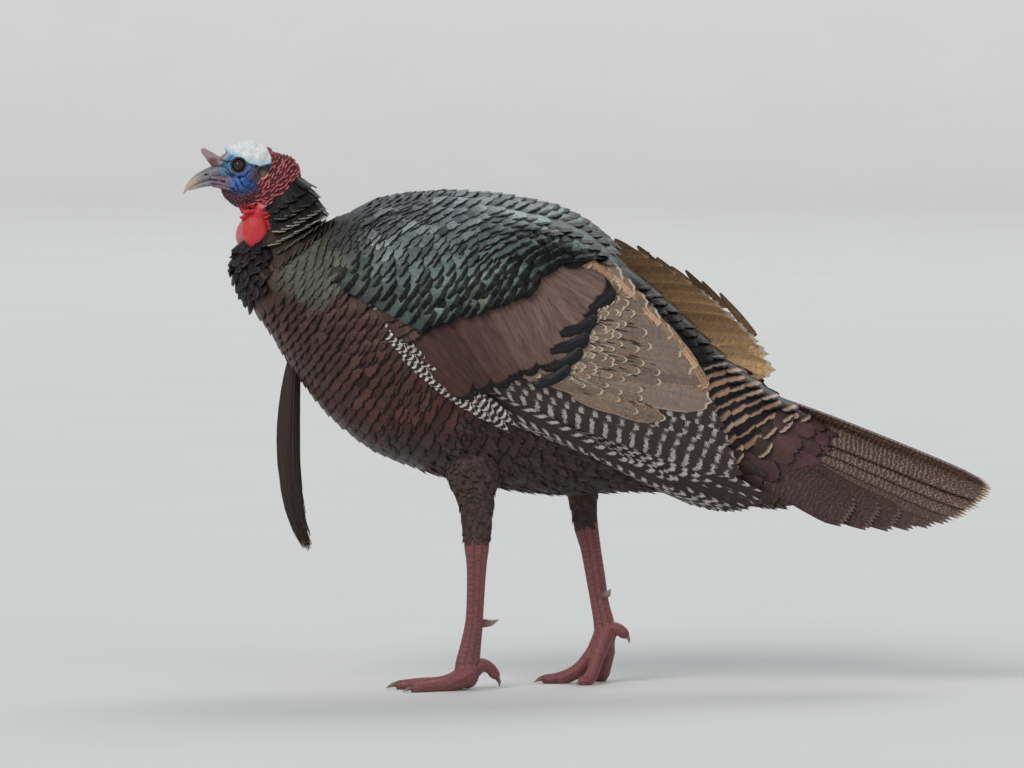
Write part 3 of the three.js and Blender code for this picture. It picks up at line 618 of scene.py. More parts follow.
def head_clay():
    """The head and bare neck, first smooth, then with every lump, fold and lid."""
    clay = Clay((-447, -34, 497), (-317, 34, 634), HEAD_CELL)
    for centre, half, pitch in HEAD_FORM:
        clay.ball(centre, half, pitched(pitch), 6.0)
    clay.rod([(-350, 0, 570, 16.5), (-356, 0, 540, 19), (-352, 0, 523, 20)], 8.0)
    clay.rod([(-374, 0, 609, 9), (-360, 0, 600.5, 12), (-347.5, 0, 590.5, 14.5)], 5.0)
    rng = np.random.default_rng(LUMP_SEED)
    for x, y, z, r in CAP_LOBES:
        clay.ball((x, y, z), (r, r, r), blend=2.6)
    for sign in SIDES.values():
        for k in range(9):
            x = -409 + 5.6 * k
            at = (x, sign * (11.5 - 0.5 * abs(k - 4) ** 1.5), on(CAP_RIM, x) + 4.6)
            clay.ball(at, (5.2, 4.6, 4.6), blend=2.0)
        for x, y, z, r in ((-412, 8, 609, 5), (-417, 6, 605, 5), (-421, 5, 600, 4.5), (-408, 9.5, 611, 4.5)):
            clay.ball((x, sign * y, z), (r * 1.2, r, r), blend=2.0)
    smooth_head = clay.depth.copy()
    spots, _ = clay.mesh()
    spots = spots[spots[:, 2] > 532]
    normals = clay.slope(spots)
    regions = head_regions(spots)
    away, ear_gap = (np.hypot(spots[:, 0] - c[0], spots[:, 2] - c[2]) for c in (EYE, EAR))
    lie = lump_lie(spots, normals)
    stray = rng.normal(0, 0.20, (len(lie), 1))
    lie = unit(lie * np.cos(stray) + np.cross(normals, lie) * np.sin(stray))
    face = (regions["nape"] < 0.3) & (regions["throat"] < 0.4) & (regions["cap"] < 0.4) & (away > 11)
    # where each kind of lump grows, its room along and across, its half-sizes, its sink and its join
    kinds = [
        ((regions["nape"] > 0.5) & (spots[:, 2] < 614), 7.0, 2.9, lambda s: (4.6 * s, 1.2, 2.6), 0.15, 0.7),
        (regions["throat"] > 0.5, 3.1, 2.9, lambda s: (1.6 * s, 1.3, 1.6), 0.2, 0.8),
        (face, 5.2, 3.2, lambda s: (2.5 * s, 1.15, 1.35), 0.2, 0.7),
        ((regions["nape"] > 0.5) & (spots[:, 2] > 612.5), 4.6, 2.7, lambda s: (3.6 * s, 1.5, 2.8), 0.2, 0.7),
    ]
    for wanted, long, wide, half, sink, join in kinds:
        pick = wanted & (ear_gap > 7.5)
        p, n, a = spots[pick], normals[pick], lie[pick]
        low = np.interp(p[:, 2], [540, 562], [1.5, 1.0])
        for i in spread(p, a, long, wide * low, rng):
            size = np.array(half(rng.uniform(0.65, 1.25))) * low[i] * np.interp(p[i, 2], [604, 620], [1.0, 0.5])
            clay.ball(p[i] - n[i] * size[2] * sink, size, np.stack([a[i], np.cross(n[i], a[i]), n[i]]), join)
    for sign in SIDES.values():
        flip = np.array([1, sign, 1])
        eye = EYE * flip

        def ring(centre, wide, tall, out, thick, turns):
            return [(centre[0] + wide * cos(a), sign * out, centre[2] + tall * sin(a), thick)
                    for a in np.linspace(0, 2 * pi, turns)]

        clay.ball(eye + flip * (0, 11.5, 0), (11.5, 8.6, 11.0), blend=2.0, cut=True)
        clay.rod(ring(eye, 8.5, 8.4, 15.2, 0.95, 25), 0.6)
        clay.rod(ring(eye, 11.0, 10.6, 15.8, 1.0, 25), 0.9)
        clay.ball(eye - flip * (0, 0.5, 0), (7.75, 7.75, 7.75), blend=0.3, cut=True)
        rim = [(x - 1.5, sign * (14.4 + 0.02 * (x + 395)), on(CAP_RIM, x) - 0.6, 0.9)
               for x in np.linspace(-410, -372, 12)]
        clay.rod(rim, 0.8, cut=True)
        for x, z, r in ((-429, 586.2, 1.4), (-430, 581.0, 1.5), (-428, 576.4, 1.3)):
            clay.rod([(x, sign * 9, z, r), (x + 9, sign * 11.8, z - 0.6, r + 0.5),
                      (x + 18, sign * 13.2, z - 2.6, r + 0.3), (x + 25, sign * 13.6, z - 5.4, r * 0.6)], 2.0)
        clay.rod(ring(EAR, 6.4, 6.8, 16.6, 1.3, 17), 1.0)
        clay.ball((EAR[0] - 1, sign * 18.5, EAR[2]), (4.4, 3.4, 5.0), blend=1.0, cut=True)
        clay.ball((-402, sign * 9, 583), (10, 6, 7), blend=4.0)
        for crease in CREASES:
            path = []
            for x, z in spline(crease, np.linspace(0, 1, 12)):
                flesh = spots[np.hypot(spots[:, 0] - x, spots[:, 2] - z) < 1.5]
                if len(flesh):
                    path.append((x, sign * (np.abs(flesh[:, 1]).max() + 0.5), z, 1.0))
            clay.rod(path, 0.6, cut=True)
    steps = np.linspace(0, 1, 56)
    cone = spline(SNOOD, steps)
    cone[:, 3] *= 1 + 0.09 * np.sin(steps * 60)
    clay.rod(cone, 0.7)
    for side, (x, _, z) in WATTLES.items():
        y = SIDES[side] * WATTLE_OUT
        clay.ball((x, y, z), WATTLE_HALF, pitched(0.12 * SIDES[side]), 1.2)
        clay.ball((x + 1, y, z + 8), (11.0, 9, 11), blend=3.0)
        clay.rod([(x + 2, y * 0.9, z + 14, 6.0), (x + 5, y * 0.6, z + 26, 5.0)], 2.5)
    for k in range(26):
        for sign in SIDES.values():
            at = (-392 + 0.8 * k + rng.uniform(-2, 2), sign * (2 + 11 * ((k * 0.37) % 1)), 549 - 14 * ((k * 0.618) % 1))
            clay.ball(at, (4.4, 2.6, 2.2), blend=1.2)
    return clay, smooth_head


def leg_clay(side):
    """Thigh, shank and foot of one leg, standing on small flats."""
    leg = LEGS[side]
    rows = np.array([row[:3] for key in ("shank", *TOES) for row in leg[key]], float)
    clay = Clay(rows.min(0) - (17, 17, 0) + (0, 0, -2 - rows[:, 2].min()), rows.max(0) + (17, 17, 22), 1.3)
    for key, softness, squash in (("shank", 2.0, 1.35), *((toe, 2.6, 1.0) for toe in TOES)):
        table = np.array(leg[key], float)
        line = spline(table, np.linspace(0, 1, 4 * len(table)))
        radius = line[:, 3] if key == "shank" else (line[:, 3] + line[:, 4]) / 2 * 0.96
        clay.rod(np.column_stack([line[:, :3], radius * 0.98]), softness, squash=squash)
    for toe in TOES:
        table = np.array(leg[toe], float)
        length = np.linalg.norm(np.diff(table[:, :3], axis=0), axis=1).sum()
        joints = max(3, int(length / 17))
        for s in (np.arange(joints) + 0.6) / joints:
            x, y, z, r, w = spline(table, s)
            clay.ball((x, y, max(z - 1.2, 0.62 * r)), (r * 1.05, w * 1.04, r * 0.92), blend=2.2)
    floor = clay.low[2] + clay.cell * np.arange(clay.size[2])
    clay.depth = np.maximum(clay.depth, -floor[None, None, :].astype(np.float32))
    clay.depth[:, :, 0] = Clay.FAR
    return clay


def coat_depth(t):
    """How far the bare body lies inside the tips of its plumage, by section of the body."""
    return np.interp(t, [0, 1, 2, 4, 7, 10, 13, 15], [4.5, 5.5, 7, 9, 10, 9, 8, 7])


def body_core():
    def surface(s, angle):
        t = 0.25 + s * (LAST - 0.55)
        return body(t, angle, -coat_depth(t))

    return tube(surface, 64, 90)


def thigh_core(side):
    rows = np.array(LEGS[side]["thigh"], float)
    rows[:, 3:] -= np.interp(np.arange(len(rows)), [0, 2, len(rows) - 1], [7.5, 5.5, 2.5])[:, None]
    return tube(limb_surface(rows), 32, 36)


COVERT_MIDDLE = np.array([-95.0, 425.0])
WING_FLESH = [(-222, 415), (-224, 440), (-200, 464), (-150, 474), (-80, 472), (-36, 458), (-16, 438), (-14, 412),
              (-34, 378), (-74, 354), (-116, 344), (-158, 364), (-196, 388)]


def wing_core(side):
    """The flesh of a folded wing: a pad from inside the trunk out to just under the coverts."""
    ring = np.array(WING_FLESH, float) - COVERT_MIDDLE

    def surface(s, angle):
        turn = angle / (2 * pi) * len(ring)
        i = np.floor(turn).astype(int)
        f = (turn - i)[:, None]
        q = [ring[(i + k) % len(ring)] for k in (-1, 0, 1, 2)]
        edge = q[1] + 0.5 * f * (q[2] - q[0] + f * (2 * q[0] - 5 * q[1] + 4 * q[2] - q[3]
                                                     + f * (3 * (q[1] - q[2]) + q[3] - q[0])))
        round_ = s * pi
        place = COVERT_MIDDLE + edge * np.sin(np.clip(round_, 0.02, pi - 0.02))[:, None]
        off = np.where(round_ < pi / 2, np.cos(round_) * 4.0 - 4.5, -4.5 + np.cos(round_) * 40)
        return on_wing(side, place[:, 0], place[:, 1], off)

    return tube(surface, 48, 26)


def scutes(points, normals):
    """How far each place on the legs is raised by its scales, and where the grooves between them run."""
    rise = np.zeros(len(points))
    plate = np.ones(len(points))
    nearest = np.full(len(points), 1e9)
    for side, leg in LEGS.items():
        for key in ("shank", *TOES):
            table = np.array(leg[key], float)[:, :3]
            line = spline(table, np.linspace(0, 1, 90))
            run = run_of(line)
            close = np.flatnonzero(np.all((points > line.min(0) - 18) & (points < line.max(0) + 18), 1))
            if not len(close):
                continue
            gap = np.linalg.norm(points[close, None] - line[None], axis=2)
            k = gap.argmin(1)
            dist = gap[np.arange(len(close)), k]
            s = run[k] + np.sum((points[close] - line[k]) * unit(np.gradient(line, axis=0))[k], 1)
            n = normals[close]
            if key == "shank":
                front = -n[:, 0]
                column = np.sign(n[:, 1] - 0.0)
                pitch = np.where(front > 0.15, 6.6, np.where(front < -0.35, 5.2, 3.6))
                phase = (s / pitch + 0.5 * (column > 0)) % 1
                split = smooth(0.0, 0.14, np.abs(n[:, 1])) * smooth(0.0, 0.09, np.abs(front - 0.15))
                split *= smooth(0.0, 0.08, np.abs(front + 0.35))
                height = 0.5
            else:
                upper = n[:, 2]
                pitch = np.where(upper > 0.05, 3.5, 2.6)
                phase = (s / pitch) % 1
                split = smooth(0.0, 0.12, np.abs(upper - 0.05))
                height = 0.45
            edge = smooth(0.0, 0.16, phase) * (1 - smooth(0.88, 1.0, phase)) * split
            better = dist < nearest[close]
            chosen = close[better]
            nearest[chosen] = dist[better]
            plate[chosen] = edge[better]
            rise[chosen] = (edge[better] - 0.6) * height
    return rise, plate


def coat_tint(p, look):
    """The general colour of the plumage at places in side view, which skin and feathers share."""
    x, z = p[:, 0], p[:, 2]
    tint = np.tile(colour_of(look.bronze), (len(p), 1))
    mantle = smooth(-330, -200, x) * smooth(470, 510, z) * (1 - smooth(40, 110, x))
    tint = blend(tint, colour_of(look.mantle), mantle)
    low = 1 - smooth(255, 330, z + 0.25 * x)
    tint = blend(tint, colour_of(look.belly), low)
    rump = smooth(60, 120, x + 0.2 * (z - 400)) * smooth(0, 30, z - np.interp(x, [60, 250], [330, 270]))
    return blend(tint, colour_of(look.rump), rump)


HEAD_COLOURS = {
    "cap": (0.88, 0.90, 0.90), "brow": (0.17, 0.50, 0.70), "blue": (0.035, 0.17, 0.58),
    "cheek": (0.030, 0.024, 0.075), "throat": (0.11, 0.026, 0.042), "throat_tip": (0.26, 0.075, 0.115),
    "fold": (0.24, 0.17, 0.22), "lid": (0.10, 0.045, 0.035),
    "snood": (0.46, 0.33, 0.35), "ear": (0.13, 0.10, 0.055),
}


def paint_skin(p, n, rise, plate, look, coat):
    """Colour, dryness and speckle for every place on the skin; rise is its height over the smooth head, which sets
    painted shade in the hollows between lumps and painted light on their tops.
    """
    seen = {key: np.array(value) for key, value in HEAD_COLOURS.items()}
    red, wattle, leg = (colour_of(c) for c in (look.neck_red, look.wattle_red, look.leg_pink))
    x, y, z = p.T
    region = head_regions(p)
    # how far each place stands over the smooth head: painted light where it is high, painted shade where it is low
    high = smooth(-0.2, 1.3, rise)
    blue, cap = seen["blue"], seen["cap"]
    front = x < -402
    over_rim = z - on(CAP_RIM, x)
    nearly_black = (0.012, 0.008, 0.008)
    face = np.tile(seen["cheek"], (len(p), 1))

    def lay(colour, share):
        nonlocal face
        face = blend(face, colour, share)

    lay(blue * 0.45, near(p, (-396, 582), 16, 12))
    lay(blue, near(p, (-398, 588), 13, 9) * 0.9)
    # brighter blue on the tops of the face's lumps below and before the eye: painted highlight
    lay(blue * (1.5, 1.35, 1.15), near(p, (-390, 596), 6, 7) * high)
    lay(blue * (1.4, 1.3, 1.15), near(p, (-404, 587), 7, 7) * high)
    lay(seen["brow"] * 0.8, near(p, (-414, 600), 8, 7))
    lay(seen["brow"], smooth(594, 606, z - 0.3 * (x + 412)) * front)
    lay(cap * (0.8, 0.95, 1.0), smooth(603, 613, z - 0.5 * (x + 412)) * front)
    # darker between the lumps of the face: painted shade in the grooves
    lay(face * (0.25, 0.25, 0.35), (1 - high) * 0.75)
    lay((0.10, 0.05, 0.05), near(p, (-377, 590), 6, 5) * 0.7)
    lay(blue, 0.6 * near(p, EYE[[0, 2]], 12.5, 2.5))
    fold = (1 - smooth(-412, -402, x)) * smooth(571, 574, z) * (1 - smooth(587, 590, z))
    # the fold by the mouth darker where it lies low: painted shade between its lumps
    lay(blend(seen["fold"] * 0.25, seen["fold"], high), fold)
    # the throat darker between its lumps and lighter on their tops: painted shade and painted light
    throat = blend(seen["throat"] * 0.35, seen["throat_tip"], smooth(0.2, 1.5, rise) * 0.85)
    violet = 1 - smooth(-398, -384, x)
    lay(blend(throat * (1.1, 0.6, 0.6), throat * (1.0, 1.0, 1.35), violet), region["throat"])
    white = blend(cap * (0.50, 0.78, 0.95), cap, smooth(0, 9, over_rim))
    # the cap darker where it is cut below the smooth head: painted shade in its grooves
    lay(blend(white * (0.6, 0.7, 0.8), white, smooth(-0.9, 0.1, rise)), region["cap"])
    # darker bands round the snood: painted shade of its ring grooves
    lay(seen["snood"] * (0.80 + 0.3 * np.sin((x - 0.8 * z) * 1.9))[:, None], region["snood"])
    lay((0.16, 0.06, 0.05), near(p, (-428, 603), 4, 4) * 0.9)
    # the nape dark between its lumps and pale on their highest tops: painted shade and painted highlight
    nape = blend(red * (0.14, 0.10, 0.11), red, np.maximum(smooth(0.5, 1.5, rise), 0.45 * smooth(611, 615, z)))
    lay(blend(nape, np.minimum(red * 1.2 + 0.24, 0.85), smooth(1.6, 2.5, rise)), region["nape"])
    # near black along the groove cut under the cap's rim: painted shade
    groove = 1 - smooth(0.3, 1.8, np.abs(over_rim + 1.0))
    lay((0.010, 0.010, 0.020), groove * (np.abs(x + 384) < 14) * 0.85)
    ear = np.hypot((x - EAR[0]) / 6.5, (z - EAR[2]) / 7)
    # the ear's hollow lighter low at the back and darker towards its upper front rim: painted shade
    bowl = smooth(0.1, 0.9, np.hypot((x - EAR[0] - 1.2) / 6.5, (z - EAR[2] + 1.6) / 7))
    lay(blend(seen["ear"] * 1.5, seen["ear"] * 0.3, bowl), 1 - smooth(0.72, 1.05, ear))
    # dark lines between the raised folds of the mouth: painted shade in the creases
    for line in MOUTH_LINES:
        lay((0.03, 0.018, 0.03), 0.75 * (1 - smooth(0.3, 1.1, off_line(p, line))))
    # the cut wrinkles of the face painted dark: painted shade in the creases
    for crease in CREASES:
        lay((0.008, 0.010, 0.035), 0.8 * (1 - smooth(0.5, 1.5, off_line(p, crease))))
    ring = np.hypot(x - EYE[0], z - EYE[2])
    # the nearly black ring is painted shade in the gap round the eyeball
    for colour, inner, outer in (((0.014, 0.016, 0.04), 9.5, 10.3), (seen["lid"], 8.8, 9.3), (nearly_black, 7.7, 8.2)):
        lay(colour, 1 - smooth(inner, outer, ring))
    scarlet = smooth(-3, 3, on([(-404, 552), (-392, 556), (-376, 555), (-366, 548)], x) - z)
    # the red lumps under the throat darker between them: painted shade in the grooves
    lay(blend(wattle * (0.28, 0.5, 0.5), wattle, smooth(0.3, 1.6, rise)), scarlet)
    head = smooth(-2, 2, z - on([(-395, 528), (-366, 540), (-326, 584)], x)) * (x < -318)
    # below the head the skin takes the plumage's colour at half strength: painted shade under the feathers
    face = blend(coat_tint(p, coat) * 0.5, face, head)
    ball = np.zeros(len(p))
    for side, middle in WATTLES.items():
        gap = (p - (middle[0], SIDES[side] * WATTLE_OUT, middle[2] + 2)) / (16.5, 14.5, 22.5)
        hold = 1 - smooth(0.98, 1.06, np.linalg.norm(gap, axis=1))
        lay(wattle if side == "left" else wattle * 0.62 + (0.24, 0.17, 0.18), hold)
        ball = np.maximum(ball, hold)
    foot = smooth(4, 0, z - on([(-90, 180), (-20, 184)], x))
    # the legs lighter where the skin faces up: painted light from above
    lay(blend(leg * 0.5, leg, plate) * (0.85 + 0.3 * smooth(-0.3, 0.8, n[:, 2:])), foot)
    return {"paint": face, "fleck": blend((0.75, 0.8, 0.85), (0.03, 0.03, 0.05), region["cap"]),
            "speckle": head * np.maximum(region["cap"] * 0.12, 0.8 * near(p, (-400, 592), 16, 8)),
            "dryness": 0.52 - 0.17 * ball + 0.06 * region["cap"] * head - 0.05 * foot}


def build_skin(look, coat):
    head, smooth_head = head_clay()
    bare = make("bare_head", *head.mesh())
    thinned = bare.modifiers.new("thinned", "DECIMATE")
    thinned.ratio = HEAD_SHARE
    pieces = [make("skin", *body_core()), settle(bare)]
    for side in SIDES:
        pieces.append(make("wing_flesh", *wing_core(side)))
        pieces.append(make("thigh_flesh", *thigh_core(side)))
        pieces.append(make("leg_flesh", *leg_clay(side).mesh()))
    skin = welded(pieces)
    me = skin.data
    p, n = np.empty((2, len(me.vertices) * 3))
    me.vertices.foreach_get("co", p)
    me.vertices.foreach_get("normal", n)
    p, n = p.reshape(-1, 3) / MM - SHIFT, n.reshape(-1, 3)
    legs = p[:, 2] < on([(-90, 184), (-20, 186)], p[:, 0])
    rise, plate = np.zeros(len(p)), np.ones(len(p))
    rise[legs], plate[legs] = scutes(p[legs], n[legs])
    p = p + n * (rise * smooth(0.2, 1.6, p[:, 2]))[:, None]
    me.vertices.foreach_set("co", ((p + SHIFT) * MM).ravel())
    inside = np.all((p > head.low + 2) & (p < head.low + (head.size - 3) * head.cell), 1)
    lumps = np.zeros(len(p))
    lumps[inside] = head.read(p[inside], smooth_head)
    for label, value in paint_skin(p, n, lumps, plate, look, coat).items():
        store(me, label, value, "FLOAT_COLOR" if value.ndim == 2 else "FLOAT")
    me.polygons.foreach_set("use_smooth", np.ones(len(me.polygons), bool))
    me.materials.clear()
    me.materials.append(skin_finish())
    me.update()
    nodes = [n for n in frame["nodes"] if n.startswith(("head", "neck", "snood", "ear", "wattle", "trunk", "thigh",
                                                        "shank", "foot", "wing", "tail_coverts"))]
    hand_in(skin, nodes)
    return skin


# ------------------------------------------------------------------ eyes, bill, claws, spurs
def build_eyes(look):
    for side, sign in SIDES.items():
        centre = EYE * (1, sign, 1)

        def ball(s, angle):
            swell = EYE_RADIUS * (1 + 0.05 * smooth(0.75, 1.0, s))
            lean = np.clip(s * pi, 0.02, pi - 0.02)
            out = -np.cos(lean) * sign
            return centre + np.stack([np.sin(lean) * np.cos(angle), out, np.sin(lean) * np.sin(angle)], -1) \
                * swell[:, None]

        points, faces = tube(ball, 40, 30)
        gap = np.hypot(points[:, 0] - centre[0], points[:, 2] - centre[2])
        piece = make("eye_" + side, points, faces, gap=gap)
        f = Finish("eye_" + side, Roughness=0.5, Specular_IOR_Level=0.1, Coat_Weight=1.0, Coat_Roughness=0.03)
        streak = f.noise(f.place(), 2500.0, 3.0)
        iris = f.mix(f.ease(0.3, 0.7, streak), colour_of(look.eye_brown) * 0.5, look.eye_brown)
        colour = f.mix(f.ease(3.3, 3.9, f.stored("gap", "Fac")), (0.004, 0.004, 0.005), iris)
        piece.data.materials.append(f.done(Base_Color=colour))
        hand_in(piece, ["eye_" + side])


BILL_TOP = [(-412, 0, 603), (-424, 0, 601.5), (-433.6, 0, 597.3), (-440.5, 0, 594.0), (-447, 0, 590.2),
            (-452.5, 0, 585.6), (-457.3, 0, 579.5), (-460.6, 0, 573), (-462.3, 0, 567.4)]
BILL_EDGE = [(-410, 0, 586), (-421, 0, 585.5), (-431, 0, 583.4), (-439, 0, 580.8), (-446, 0, 578),
             (-451.5, 0, 575), (-456, 0, 572.3), (-459.5, 0, 569.4), (-461.9, 0, 566.6)]
BILL_HALF = [(10.8,), (10.6,), (9.2,), (7.8,), (6.5,), (5.2,), (3.7,), (2.1,), (0.5,)]
CHIN_TOP = [(-410, 0, 586), (-422, 0, 586), (-434, 0, 583.4), (-444, 0, 580), (-451, 0, 576.4), (-455.5, 0, 573.2)]
CHIN_LOW = [(-410, 0, 573.5), (-421, 0, 575.2), (-431, 0, 575.8), (-441, 0, 574.6), (-449, 0, 572.6),
            (-454.5, 0, 570.8)]
CHIN_HALF = [(10.4,), (9.8,), (7.9,), (5.9,), (3.8,), (1.0,)]
NOSTRIL = np.array([-435.5, 589.5])


def build_bill(look):
    def half_bill(top, low, half, s, fall, fuller):
        place = spline(top, s) + (spline(low, s) - spline(top, s)) * fall[:, None]
        place[:, 1] = spline(half, s)[:, 0] * fuller
        return place

    def upper(s, angle):
        fall = (1 - np.cos(angle)) / 2
        wide = np.sign(np.sin(angle)) * np.abs(np.sin(angle)) ** 0.8 * (0.82 + 0.25 * fall)
        place = half_bill(BILL_TOP, BILL_EDGE, BILL_HALF, s, fall, wide)
        gap = (place[:, [0, 2]] - NOSTRIL) @ np.array([[0.86, -0.5], [0.5, 0.86]])
        dent = np.exp(-((gap[:, 0] / 3.1) ** 2 + (gap[:, 1] / 1.05) ** 2) * 1.2)
        lip = np.exp(-((gap[:, 0] / 4.6) ** 2 + ((gap[:, 1] - 2.0) / 1.6) ** 2))
        place[:, 1] -= np.sign(wide) * np.minimum(2.4 * dent - 0.9 * lip, np.abs(place[:, 1]) * 0.6)
        return place

    def lower(s, angle):
        wide = np.sign(np.sin(angle)) * np.abs(np.sin(angle)) ** 0.8
        return half_bill(CHIN_TOP, CHIN_LOW, CHIN_HALF, s, (1 - np.cos(angle)) / 2, wide)

    for name, surface in (("bill_upper", upper), ("bill_lower", lower)):
        piece = make(name, *tube(surface, 64, 90))
        f = Finish(name, Specular_IOR_Level=0.5, Coat_Weight=0.15, Coat_Roughness=0.3)
        place = f.place()
        x, _, z = f.split(place)
        along = f.times(x, 1000.0)
        worn = f.noise(place, 420.0, 5.0, 0.62)
        fibres = f.noise(f.node("ShaderNodeMapping", Vector=place, Rotation=(0, 0.55, 0),
                                Scale=(160.0, 1600.0, 1600.0)).outputs[0], 1.0, 2.0)
        reach = f.plus(along, f.times(f.minus(worn, 0.5), 14.0))
        tip = f.ease(-457.0, -440.0, reach, 1.0, 0.0)
        colour = f.mix(tip, look.bill_base, look.bill_tip)
        colour = f.mix(f.ease(0.35, 0.75, worn, 0.0, 0.35), colour, (0.10, 0.085, 0.07))
        colour = f.mix(f.ease(-438.0, -428.0, reach, 0.0, 0.8), colour, (0.13, 0.15, 0.20))
        nostril = f.node("ShaderNodeVectorMath", {"operation": "DISTANCE"})
        f.put(nostril.inputs[0], f.pack(f.times(along, 0.42), 0.0, f.times(z, 1000.0)))
        f.put(nostril.inputs[1], ((NOSTRIL[0] + SHIFT[0]) * 0.42, 0.0, NOSTRIL[1]))
        # the nostril near black: painted shade in its opening
        colour = f.mix(f.ease(0.7, 1.5, nostril.outputs["Value"], 0.95, 0.0), colour, (0.012, 0.01, 0.01))
        f.bump(f.plus(f.times(fibres, 0.6), worn), 0.0005, 0.5)
        piece.data.materials.append(f.done(Base_Color=colour, Roughness=f.ease(0.3, 0.7, worn, 0.3, 0.5)))
        hand_in(piece, [name])


def horn_finish(name, base, tip, bottom, top):
    """Claws and spurs: darker at the root, worn pale at the point."""
    f = Finish(name, Specular_IOR_Level=0.5, Coat_Weight=0.1, Coat_Roughness=0.35)
    place = f.place()
    grain = f.noise(place, 700.0, 4.0, 0.6)
    share = f.ease(bottom, top, f.stored("along", "Fac"))
    colour = f.mix(share, base, tip)
    colour = f.mix(f.ease(0.4, 0.7, grain, 0.0, 0.4), colour, colour_of(base) * 0.35)
    f.bump(grain, 0.0004, 0.5)
    return f.done(Base_Color=colour, Roughness=0.42)


def build_claws(look):
    for side, leg in LEGS.items():
        rows = {"claw_%s_%s" % (side, toe): leg["claws"][toe] for toe in TOES}
        rows["spur_" + side] = leg["spur"]
        for name, table in rows.items():
            table = np.array(table, float)
            spur = name.startswith("spur")
            surface = limb_surface(table)

            def hooked(s, angle):
                place = surface(s, angle)
                under = np.maximum(-np.cos(angle), 0)
                rings = 0.18 * np.sin(s * 40) * (1 - s) if spur else 0
                place = place + (spline(table[:, :3], s) - place) * (0.22 * under * (not spur))[:, None]
                return place + (place - spline(table[:, :3], s)) * (np.asarray(rings) / 5)[..., None]

            points, faces = tube(hooked, 24, 40)
            points[:, 2] = np.maximum(points[:, 2], 0.0)
            along = np.concatenate([np.repeat(np.linspace(0, 1, 40), 24), [0, 1]])
            piece = make(name, points, faces, along=along)
            base, tip = (look.spur_root, look.spur_tip) if spur else (look.claw_root, look.claw_tip)
            piece.data.materials.append(horn_finish(name, base, tip, 0.35, 0.95))
            hand_in(piece, [name])


# ------------------------------------------------------------------ feathers
class Graph(Nodes):
    """A Geometry Nodes tree."""

    def __init__(self, name):
        self.tree = bpy.data.node_groups.new(name, "GeometryNodeTree")

    def socket(self, name, kind, default=None, way="INPUT"):
        made = self.tree.interface.new_socket(name=name, in_out=way, socket_type="NodeSocket" + kind)
        if default is not None:
            made.default_value = default

    def grown(self, a, by):
        return self.node("ShaderNodeVectorMath", {"operation": "SCALE"}, Vector=a, Scale=by).outputs[0]

    def total(self, *parts):
        whole = parts[0]
        for part in parts[1:]:
            whole = self.calc("ADD", whole, part, kind="ShaderNodeVectorMath")
        return whole

    def read(self, name, kind="FLOAT_VECTOR"):
        return self.node("GeometryNodeInputNamedAttribute", {"data_type": kind}, Name=name).outputs["Attribute"]

    def keep(self, geometry, name, value, kind, domain):
        settings = {"data_type": kind, "domain": domain}
        return self.node("GeometryNodeStoreNamedAttribute", settings, Geometry=geometry, Name=name, Value=value)


def plumage_tree():
    """Sets a vane at each guide, bends it from root to tip and gives it a small place of its own to bake on."""
    if "plumage" in bpy.data.node_groups:
        return bpy.data.node_groups["plumage"]
    g = Graph("plumage")
    for socket in (("Geometry", "Geometry"), ("Vanes", "Collection"), ("Finish", "Material"),
                   ("Fullness", "Float", 1.0), ("Ruffle", "Float", 0.0008), ("Bake Patch", "Float", 0.003),
                   ("Geometry", "Geometry", None, "OUTPUT")):
        g.socket(*socket)
    start = g.node("NodeGroupInput").outputs
    tossed = g.node("FunctionNodeRandomValue", {"data_type": "FLOAT_VECTOR"}, Min=(-1, -1, -1), Seed=7)
    marked = g.keep(start["Geometry"], "toss", tossed.outputs["Value"], "FLOAT_VECTOR", "POINT")
    vanes = g.node("GeometryNodeCollectionInfo", Collection=start["Vanes"], Separate_Children=True,
                   Reset_Children=True)
    placed = g.node("GeometryNodeInstanceOnPoints", Points=marked.outputs[0], Instance=vanes.outputs[0],
                    Pick_Instance=True, Instance_Index=g.read("form", "INT"))
    real = g.node("GeometryNodeRealizeInstances", Geometry=placed.outputs[0])
    at, size = g.split(g.read("at")), g.split(g.read("size"))
    y = at["Y"]
    left = g.minus(1.0, y)
    curve = g.total(g.grown(g.read("root"), g.times(left, left)),
                    g.grown(g.read("bow"), g.times(g.times(left, y), 2.0)), g.grown(g.read("tip"), g.times(y, y)))
    across = g.total(g.grown(g.read("side0"), left), g.grown(g.read("side1"), y))
    out = g.total(g.grown(g.read("out0"), left), g.grown(g.read("out1"), y))
    wide = g.times(at["X"], g.times(size["X"], start["Fullness"]))
    droop = g.times(g.times(at["X"], at["X"]), size["Z"])
    rise = g.minus(g.times(at["Z"], size["Y"]), droop)
    toss = g.grown(g.read("toss"), g.times(g.times(y, y), start["Ruffle"]))
    moved = g.node("GeometryNodeSetPosition", Geometry=real.outputs[0],
                   Position=g.total(curve, g.grown(across, wide), g.grown(out, rise), toss))
    spot = g.total(g.read("bake"), g.grown(g.read("vane"), start["Bake Patch"]))
    mapped = g.keep(moved.outputs[0], "OFBake", spot, "FLOAT2", "CORNER")
    smoothed = g.node("GeometryNodeSetShadeSmooth", Geometry=mapped.outputs[0])
    finished = g.node("GeometryNodeSetMaterial", Geometry=smoothed.outputs[0], Material=start["Finish"])
    g.node("NodeGroupOutput", Geometry=finished.outputs[0])
    return g.tree


